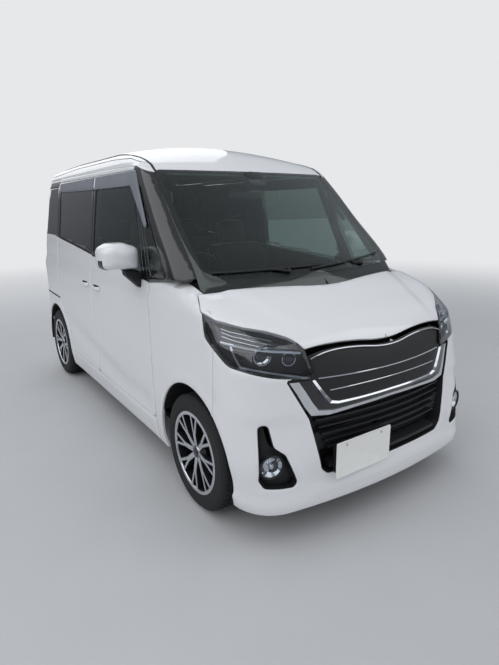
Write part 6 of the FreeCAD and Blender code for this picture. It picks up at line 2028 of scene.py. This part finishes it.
@dataclass
class RearEnd:
    """The rear plate, its garnish, handle, reflectors, stop lamp and wiper."""

    plate_centre: tuple[float, float, float] = (-1691.0, 0.0, 799.5)

    def build(self) -> None:
        """Build the tail's small pieces."""
        x, y, z = self.plate_centre
        dress(
            "rear_plate", number_plate(x + 0.4, y, z, -1.0), (PLATE_ENAMEL, MACHINED), "tailgate",
            ("plate_rear",)
        )
        garnish = strip(
            CABIN, REAR, [(-300, 934), (0, 938), (300, 934)], section(34, 3.2), under=2.4, step=24.0
        )
        handle = strip(CABIN, REAR, [(-90, 906), (90, 906)], section(18, 2.0), under=1.4, step=24.0, mark=1)
        stop = strip(
            CABIN, REAR, [(-130, 1590), (130, 1590)], section(16, 1.2), under=0.6, step=20.0, mark=2
        )
        arm = strip(CABIN, REAR, [(20, 1150), (-330, 1196)], section(9, 2.2), under=0.2, step=24.0, mark=1)
        dress(
            "tail_garnish", garnish.joined(handle, stop, arm), (CHROME, GRAIN_BLACK, RED_LENS), "tailgate",
        )
        reflectors = [
            strip(
                CABIN, REAR, [(s * 470, 430), (s * 590, 430)], section(32, 1.2), under=0.4, step=16.0
            ) for s in (-1, 1)
        ]
        dress("rear_reflectors", reflectors[0].joined(reflectors[1]), (RED_LENS,), "body")


@dataclass
class Stage:
    """The pale floor, the soft lamps and the camera at the photograph's angle."""

    camera_mm: tuple[float, float, float] = (3016.6, -1673.4, 1396.9)
    forward: tuple[float, float, float] = (-0.8024, 0.5424, -0.2488)
    down: tuple[float, float, float] = (0.1995, -0.1491, -0.9685)
    lens_mm: float = 26.47
    backdrop: str = "e6e8ea"

    def build(self) -> None:
        """Make the camera, floor, world and lamps."""
        scene = bpy.context.scene
        scene.view_settings.view_transform = "Standard"
        camera = bpy.data.objects.new("camera", bpy.data.cameras.new("camera"))
        scene.collection.objects.link(camera)
        forward = Vector(self.forward).normalized()
        up = -(Vector(self.down) - forward * Vector(self.down).dot(forward)).normalized()
        right = forward.cross(up)
        turn = camera.matrix_world.to_3x3()
        turn.col[0], turn.col[1], turn.col[2] = right, up, -forward
        camera.matrix_world = turn.to_4x4()
        camera.location = Vector(self.camera_mm) * MM
        camera.data.lens = self.lens_mm
        camera.data.clip_end = 200.0
        scene.camera = camera
        self.floor()
        self.light("key_softbox", (1.5, -4.5, 5.5), (0.2, 0.0, 0.6), 9.0, 260.0)
        self.light("fill_softbox", (5.5, 3.5, 4.0), (0.5, 0.0, 0.6), 6.0, 110.0)
        self.light("rear_softbox", (-6.0, 1.0, 4.5), (-0.5, 0.0, 0.8), 6.0, 110.0)
        self.world(scene)

    def floor(self) -> None:
        """A pale floor that keeps the shadow and fades into the backdrop far from the car."""
        mesh = bpy.data.meshes.new("floor")
        reach = 40.0
        mesh.from_pydata(
            [(-reach, -reach, 0), (reach, -reach, 0), (reach, reach, 0), (-reach, reach, 0)], [],
            [(0, 1, 2, 3)]
        )
        made = bpy.data.materials.new("pale_studio_floor")
        made.use_nodes = True
        tree = made.node_tree
        tree.nodes.clear()
        place = add_node(tree, "ShaderNodeTexCoord")
        noise = add_node(tree, "ShaderNodeTexNoise", Vector=place.outputs["Object"], Scale=3.0, Detail=4.0)
        ramp = add_node(tree, "ShaderNodeValToRGB", Fac=noise.outputs["Fac"])
        ramp.color_ramp.elements[0].color = linear("c3c4c6")
        ramp.color_ramp.elements[1].color = linear("c9cacb")
        shader = add_node(
            tree, "ShaderNodeBsdfPrincipled", Base_Color=ramp.outputs["Color"], Roughness=0.85
        )
        backdrop = add_node(tree, "ShaderNodeEmission", Color=linear(self.backdrop), Strength=1.0)
        away = add_node(tree, "ShaderNodeVectorMath", {"operation": "LENGTH"}, i0=place.outputs["Object"])
        far = add_node(
            tree, "ShaderNodeMapRange", {"interpolation_type": "SMOOTHSTEP"}, i0=away.outputs["Value"],
            i1=3.0, i2=11.0
        )
        path = add_node(tree, "ShaderNodeLightPath")
        share = add_node(
            tree, "ShaderNodeMath", {"operation": "MULTIPLY"}, i0=far.outputs[0],
            i1=path.outputs["Is Camera Ray"]
        )
        blend = add_node(
            tree, "ShaderNodeMixShader", i0=share.outputs[0], i1=shader.outputs[0], i2=backdrop.outputs[0]
        )
        add_node(tree, "ShaderNodeOutputMaterial", Surface=blend.outputs[0])
        mesh.materials.append(made)
        floor = bpy.data.objects.new("floor", mesh)
        bpy.context.scene.collection.objects.link(floor)

    def light(
        self, name: str, place: tuple[float, float, float], aim: tuple[float, float, float], size: float,
        power: float
    ) -> None:
        """Hang one square softbox."""
        lamp = bpy.data.lights.new(name, "AREA")
        lamp.size = size
        lamp.energy = power
        made = bpy.data.objects.new(name, lamp)
        bpy.context.scene.collection.objects.link(made)
        made.location = place
        made.rotation_euler = (Vector(place) - Vector(aim)).to_track_quat("Z", "Y").to_euler()

    def world(self, scene: bpy.types.Scene) -> None:
        """A soft sky for light and gloss, and a pale backdrop for the eye."""
        world = bpy.data.worlds.new("studio")
        scene.world = world
        world.use_nodes = True
        tree = world.node_tree
        tree.nodes.clear()
        place = add_node(tree, "ShaderNodeTexCoord")
        split = add_node(tree, "ShaderNodeSeparateXYZ", Vector=place.outputs["Generated"])
        ramp = add_node(tree, "ShaderNodeValToRGB", Fac=split.outputs["Z"])
        ramp.color_ramp.elements[0].position = 0.0
        ramp.color_ramp.elements[0].color = linear("8c9096")
        ramp.color_ramp.elements[1].position = 0.5
        ramp.color_ramp.elements[1].color = linear("e6ecf5")
        sky = add_node(tree, "ShaderNodeBackground", Color=ramp.outputs["Color"], Strength=0.5)
        backdrop = add_node(tree, "ShaderNodeBackground", Color=linear(self.backdrop), Strength=1.0)
        path = add_node(tree, "ShaderNodeLightPath")
        mix = add_node(
            tree, "ShaderNodeMixShader", i0=path.outputs["Is Camera Ray"], i1=sky.outputs["Background"],
            i2=backdrop.outputs["Background"]
        )
        add_node(tree, "ShaderNodeOutputWorld", Surface=mix.outputs["Shader"])


@dataclass
class Bodywork:
    """The painted panels, pillars and glass."""

    door_depth: float = 50.0
    shut_gap: float = 3.0

    def build(self) -> None:
        """Build every outer panel."""
        self.front_panels()
        self.doors()
        self.body_sides()
        self.roof()
        self.tail()

    def front_panels(self) -> None:
        """The bonnet, fenders and bumper."""
        edge = View(Way.ROUND, axis=900.0)
        bonnet = Panel(
            NOSE, TOP, (1100, 1660, -740, 740), [BONNET], BONNET.contains, depth=16, gap=1.5, roll=5,
            spacing=20
        )
        # The outer panels' backs take the matt black: undercoat, and painted shade where it shows through the gaps
        dress(
            "bonnet_skin", bonnet.build((0, 1)), (PEARL, SHADOW_BLACK), "bonnet", ("bonnet",)
        )
        limits = [BONNET, LAMP_OUTLINE, FRONT_ARCH, UPPER, BUMPER_SIDE, FRONT_DOOR, COWL_SPACE]
        free = outside(*limits)
        fender = Panel(
            NOSE, edge, (-1385, -560, 168, 1090), limits,
            lambda p: free(p) & (p[:, 0] > DOOR_FRONT_X) & (p[:, 1] < -400),
            depth=14, gap=self.shut_gap / 2,
        )
        for side, shell in zip(("right", "left"), paired(fender, (0, 1))):
            dress(
                f"fender_skin_{side}", shell, (PEARL, SHADOW_BLACK), "body",
                (f"fender_{side}",)
            )
        holes = (MOUTH, FOG, FOG_MIRROR, LAMP_OUTLINE, LAMP_MIRROR, FRONT_ARCH, BONNET)
        free_bumper = outside(*holes)
        bumper = Panel(
            NOSE, edge, (-1330, 1330, 168, 842), [
                *holes, FRONT_ARCH.twin(), BUMPER_SIDE, BUMPER_SIDE.twin()
            ],
            lambda p: free_bumper(p) & (p[:, 0] > FENDER_SEAM_X), depth=14, gap=1.0, spacing=24,
        )
        dress(
            "bumper_skin", bumper.build((0, 1)), (PEARL, SHADOW_BLACK), "body",
            ("front_bumper",)
        )

    def doors(self) -> None:
        """All four side doors with their black upper frames and their glass."""
        for part, door, window, x0, x1, body in (
            ("front_door", FRONT_DOOR, FRONT_WINDOW, DOOR_SPLIT_X - 10, DOOR_FRONT_X + 10, "front_door"),
            ("slide_door", SLIDE_DOOR, SLIDE_WINDOW, SLIDE_REAR_X - 10, DOOR_SPLIT_X + 210, "body"),
        ):
            lower = Panel(
                CABIN, SIDE, (x0, x1, 285, 1220), [door, UPPER], lambda p, d=door: d.contains(p) & ~UPPER.contains(p),
                depth=self.door_depth, gap=self.shut_gap / 2,
            )
            upper = Panel(
                CABIN, SIDE, (x0, x1, 1030, 1610), [door, UPPER, window],
                lambda p, d=door, w=window: d.contains(p) & UPPER.contains(p) & ~w.contains(p), depth=36, gap=self.shut_gap / 2, spacing=20,
            )
            pane = Panel(
                CABIN, SIDE, (x0, x1, 1030, 1610), [window], window.contains, depth=4, gap=0.2, roll=0.8,
                under=3.0
            )
            shells = [paired(panel, (0, 1)) for panel in (lower, upper, pane)]
            for i, side in enumerate(("right", "left")):
                moves = body if body == "body" else f"{body}_{side}"
                glass = PRIVACY_GLASS if part == "slide_door" else CLEAR_GLASS
                dress(
                    f"{part}_skin_{side}", shells[0][i], (PEARL, DOOR_TRIM), moves,
                    (f"{part}_{side}",)
                )
                dress(f"{part}_frame_{side}", shells[1][i], (GLOSS_BLACK, DOOR_TRIM), moves)
                dress(
                    f"{part}_pane_{side}", shells[2][i], (glass, glass), moves,
                    (f"{part}_glass_{side}",)
                )

    def body_sides(self) -> None:
        """The rear quarters, sills and black pillars, with the fixed glass."""
        free = outside(SLIDE_DOOR, REAR_BUMPER, REAR_ARCH, TAILGATE, TAIL_LAMP, SILL, FRONT_DOOR)
        quarter = Panel(
            CABIN, TAIL_ROUND, (-1330, -500, 165, 1200),
            [SLIDE_DOOR, REAR_BUMPER, REAR_ARCH, TAILGATE, TAIL_LAMP, TAIL_LAMP_SIDE, UPPER, SILL],
            lambda p: free(p) & ~UPPER.contains(p) & (p[:, 0] < -860), depth=20, gap=self.shut_gap / 2,
        )
        sill = Panel(
            CABIN, SIDE, (-985, 705, 166, 297), [REAR_ARCH], lambda p: ~REAR_ARCH.contains(p), depth=30,
            gap=1.0, roll=8
        )
        glasshouse = outside(SLIDE_DOOR, FRONT_DOOR, REAR_WINDOW, QUARTER_WINDOW, GUTTER, SCREEN, TAILGATE)
        rear_pillar = Panel(
            CABIN, TAIL_ROUND, (-1200, -500, 1150, 1640), [
                SLIDE_DOOR, REAR_WINDOW, GUTTER, TAILGATE, UPPER, TAIL_LAMP
            ],
            lambda p: glasshouse(p) & UPPER.contains(p) & (p[:, 0] < -1100), depth=36, gap=self.shut_gap / 2, spacing=20,
        )
        rail = Panel(
            CABIN, SIDE, (-1124, 400, 1590, 1625), [SLIDE_DOOR, FRONT_DOOR, GUTTER],
            lambda p: outside(SLIDE_DOOR, FRONT_DOOR, GUTTER)(p), depth=30, gap=0.5, roll=2, spacing=12,
        )
        front_pillar = Panel(
            CABIN, PILLAR_ROUND, (-1220, -400, 1020, 1640), [
                FRONT_DOOR, QUARTER_WINDOW, GUTTER, SCREEN, UPPER
            ],
            lambda p: glasshouse(p) & UPPER.contains(p) & (p[:, 0] > 400), depth=30, gap=1.0, spacing=18,
        )
        # The quarter's and sill's backs take the matt black: undercoat, and painted shade where it shows through the
        # gaps
        for name, panel, finish, slot in (
            (
                "quarter_skin", quarter, (PEARL, SHADOW_BLACK), "body_paint"
            ), ("sill_skin", sill, (PEARL, SHADOW_BLACK), "body_paint"),
            (
                "rear_pillar", rear_pillar, (GLOSS_BLACK, DOOR_TRIM), "black_trim"
            ), ("cant_rail", rail, (PEARL, DOOR_TRIM), "body_paint"),
            ("front_pillar", front_pillar, (GLOSS_BLACK, DOOR_TRIM), "black_trim"),
        ):
            for side, shell in zip(("right", "left"), paired(panel, (0, 1))):
                taken = (f"body_side_{side}",) if name == "quarter_skin" else ()
                dress(f"{name}_{side}", shell, finish, "body", taken)
        rear_pane = Panel(
            CABIN, TAIL_ROUND, (-1160, -500, 1180, 1600), [REAR_WINDOW], REAR_WINDOW.contains, depth=4,
            gap=0.2, roll=0.8, under=3.0
        )
        quarter_pane = Panel(
            CABIN, PILLAR_ROUND, (-1220, -400, 1020, 1600), [QUARTER_WINDOW], QUARTER_WINDOW.contains,
            depth=4, gap=0.2, roll=0.8, under=3.0
        )
        for (rear, ahead), side in zip(zip(paired(rear_pane), paired(quarter_pane)), ("right", "left")):
            dress(
                f"rear_side_pane_{side}", rear, (PRIVACY_GLASS,), "body",
                (f"fixed_glass_{side}",)
            )
            dress(f"quarter_pane_{side}", ahead, (CLEAR_GLASS,), "body")
        screen = Panel(
            CABIN, FRONT, (-650, 650, 1000, 1600), [SCREEN], SCREEN.contains, depth=5, gap=0.5, roll=1.0,
            under=1.0
        )
        dress("windscreen_pane", screen.build(), (CLEAR_GLASS,), "body", ("windscreen",))

    def roof(self) -> None:
        """The roof panel with its headlining."""
        roof = Panel(
            CABIN, ROOF_BARREL, (-1720, 720, -780, 780), [
                GUTTER, GUTTER.twin(), SCREEN, TAILGATE, TAILGATE_TOP
            ],
            lambda p: GUTTER.contains(p) & outside(SCREEN, TAILGATE)(p), depth=34, gap=1.0, spacing=26,
        )
        dress("roof_skin", roof.build((0, 1)), (PEARL, HEADLINING), "body", ("roof_panel",))

    def tail(self) -> None:
        """The tailgate, its glass, the lamps and the rear bumper."""
        gate = Panel(
            CABIN, TAIL_ROLL, (-600, 600, -700, 780), [TAILGATE, TAIL_WINDOW, TAILGATE_TOP],
            lambda p: TAILGATE.contains(p) & ~TAIL_WINDOW.contains(p), depth=46, gap=self.shut_gap / 2,
        )
        dress(
            "tailgate_skin", gate.build((0, 1)), (PEARL, DOOR_TRIM), "tailgate", ("tailgate",)
        )
        pane = Panel(
            CABIN, REAR, (-600, 600, 1100, 1600), [TAIL_WINDOW], TAIL_WINDOW.contains, depth=4, gap=0.2,
            roll=0.8, under=3.0
        )
        dress(
            "tailgate_pane", pane.build(), (PRIVACY_GLASS,), "tailgate", ("tailgate_glass",)
        )
        lamp = Panel(
            CABIN, TAIL_ROUND, (-900, -500, 850, 1190), [TAIL_LAMP, TAIL_LAMP_SIDE], TAIL_LAMP.contains,
            depth=40, gap=1.0, roll=3, spacing=16
        )
        right, left = paired(lamp)
        dress("tail_lamp_lens", right.joined(left), (RED_LENS,), "body", ("tail_lamps",))
        bumper = Panel(
            CABIN, TAIL_ROUND, (-1250, 1250, 168, 590), [
                REAR_BUMPER, REAR_BUMPER.twin(), REAR_ARCH, REAR_ARCH.twin(), TAILGATE
            ],
            lambda p: REAR_BUMPER.contains(p) & outside(REAR_ARCH, TAILGATE)(p), depth=18, gap=1.0, spacing=26,
        )
        # The rear bumper's back takes the matt black: undercoat, and painted shade where it shows through the gaps
        dress(
            "rear_bumper_skin", bumper.build((0, 1)), (PEARL, SHADOW_BLACK), "body",
            ("rear_bumper",)
        )


def plain_nodes() -> None:
    """Give each solid that stays in view its material."""
    for names, finish in (
        (("floor_pan", "front_suspension", "strut_towers", "rear_axle", "fuel_tank"), PRIMER),
        (("engine_block", "knuckle_right", "knuckle_left"), CAST),
        (("exhaust",), EXHAUST_STEEL),
        (("arch_liners",), GRAIN_BLACK),
    ):
        for name in names:
            node = frame["nodes"][name]
            node.data.materials.clear()
            node.data.materials.append(finish.material())


def main() -> None:
    """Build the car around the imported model."""
    logging.basicConfig(level=logging.INFO, format="%(name)s %(message)s")
    Stage().build()
    for assembly in (Bodywork(), FrontEnd(), Headlamp(), Outfit(), Wheel(), CabinInterior(), RearEnd()):
        LOG.info("%s", type(assembly).__name__)
        assembly.build()
    plain_nodes()


if __name__ == "__main__":
    main()
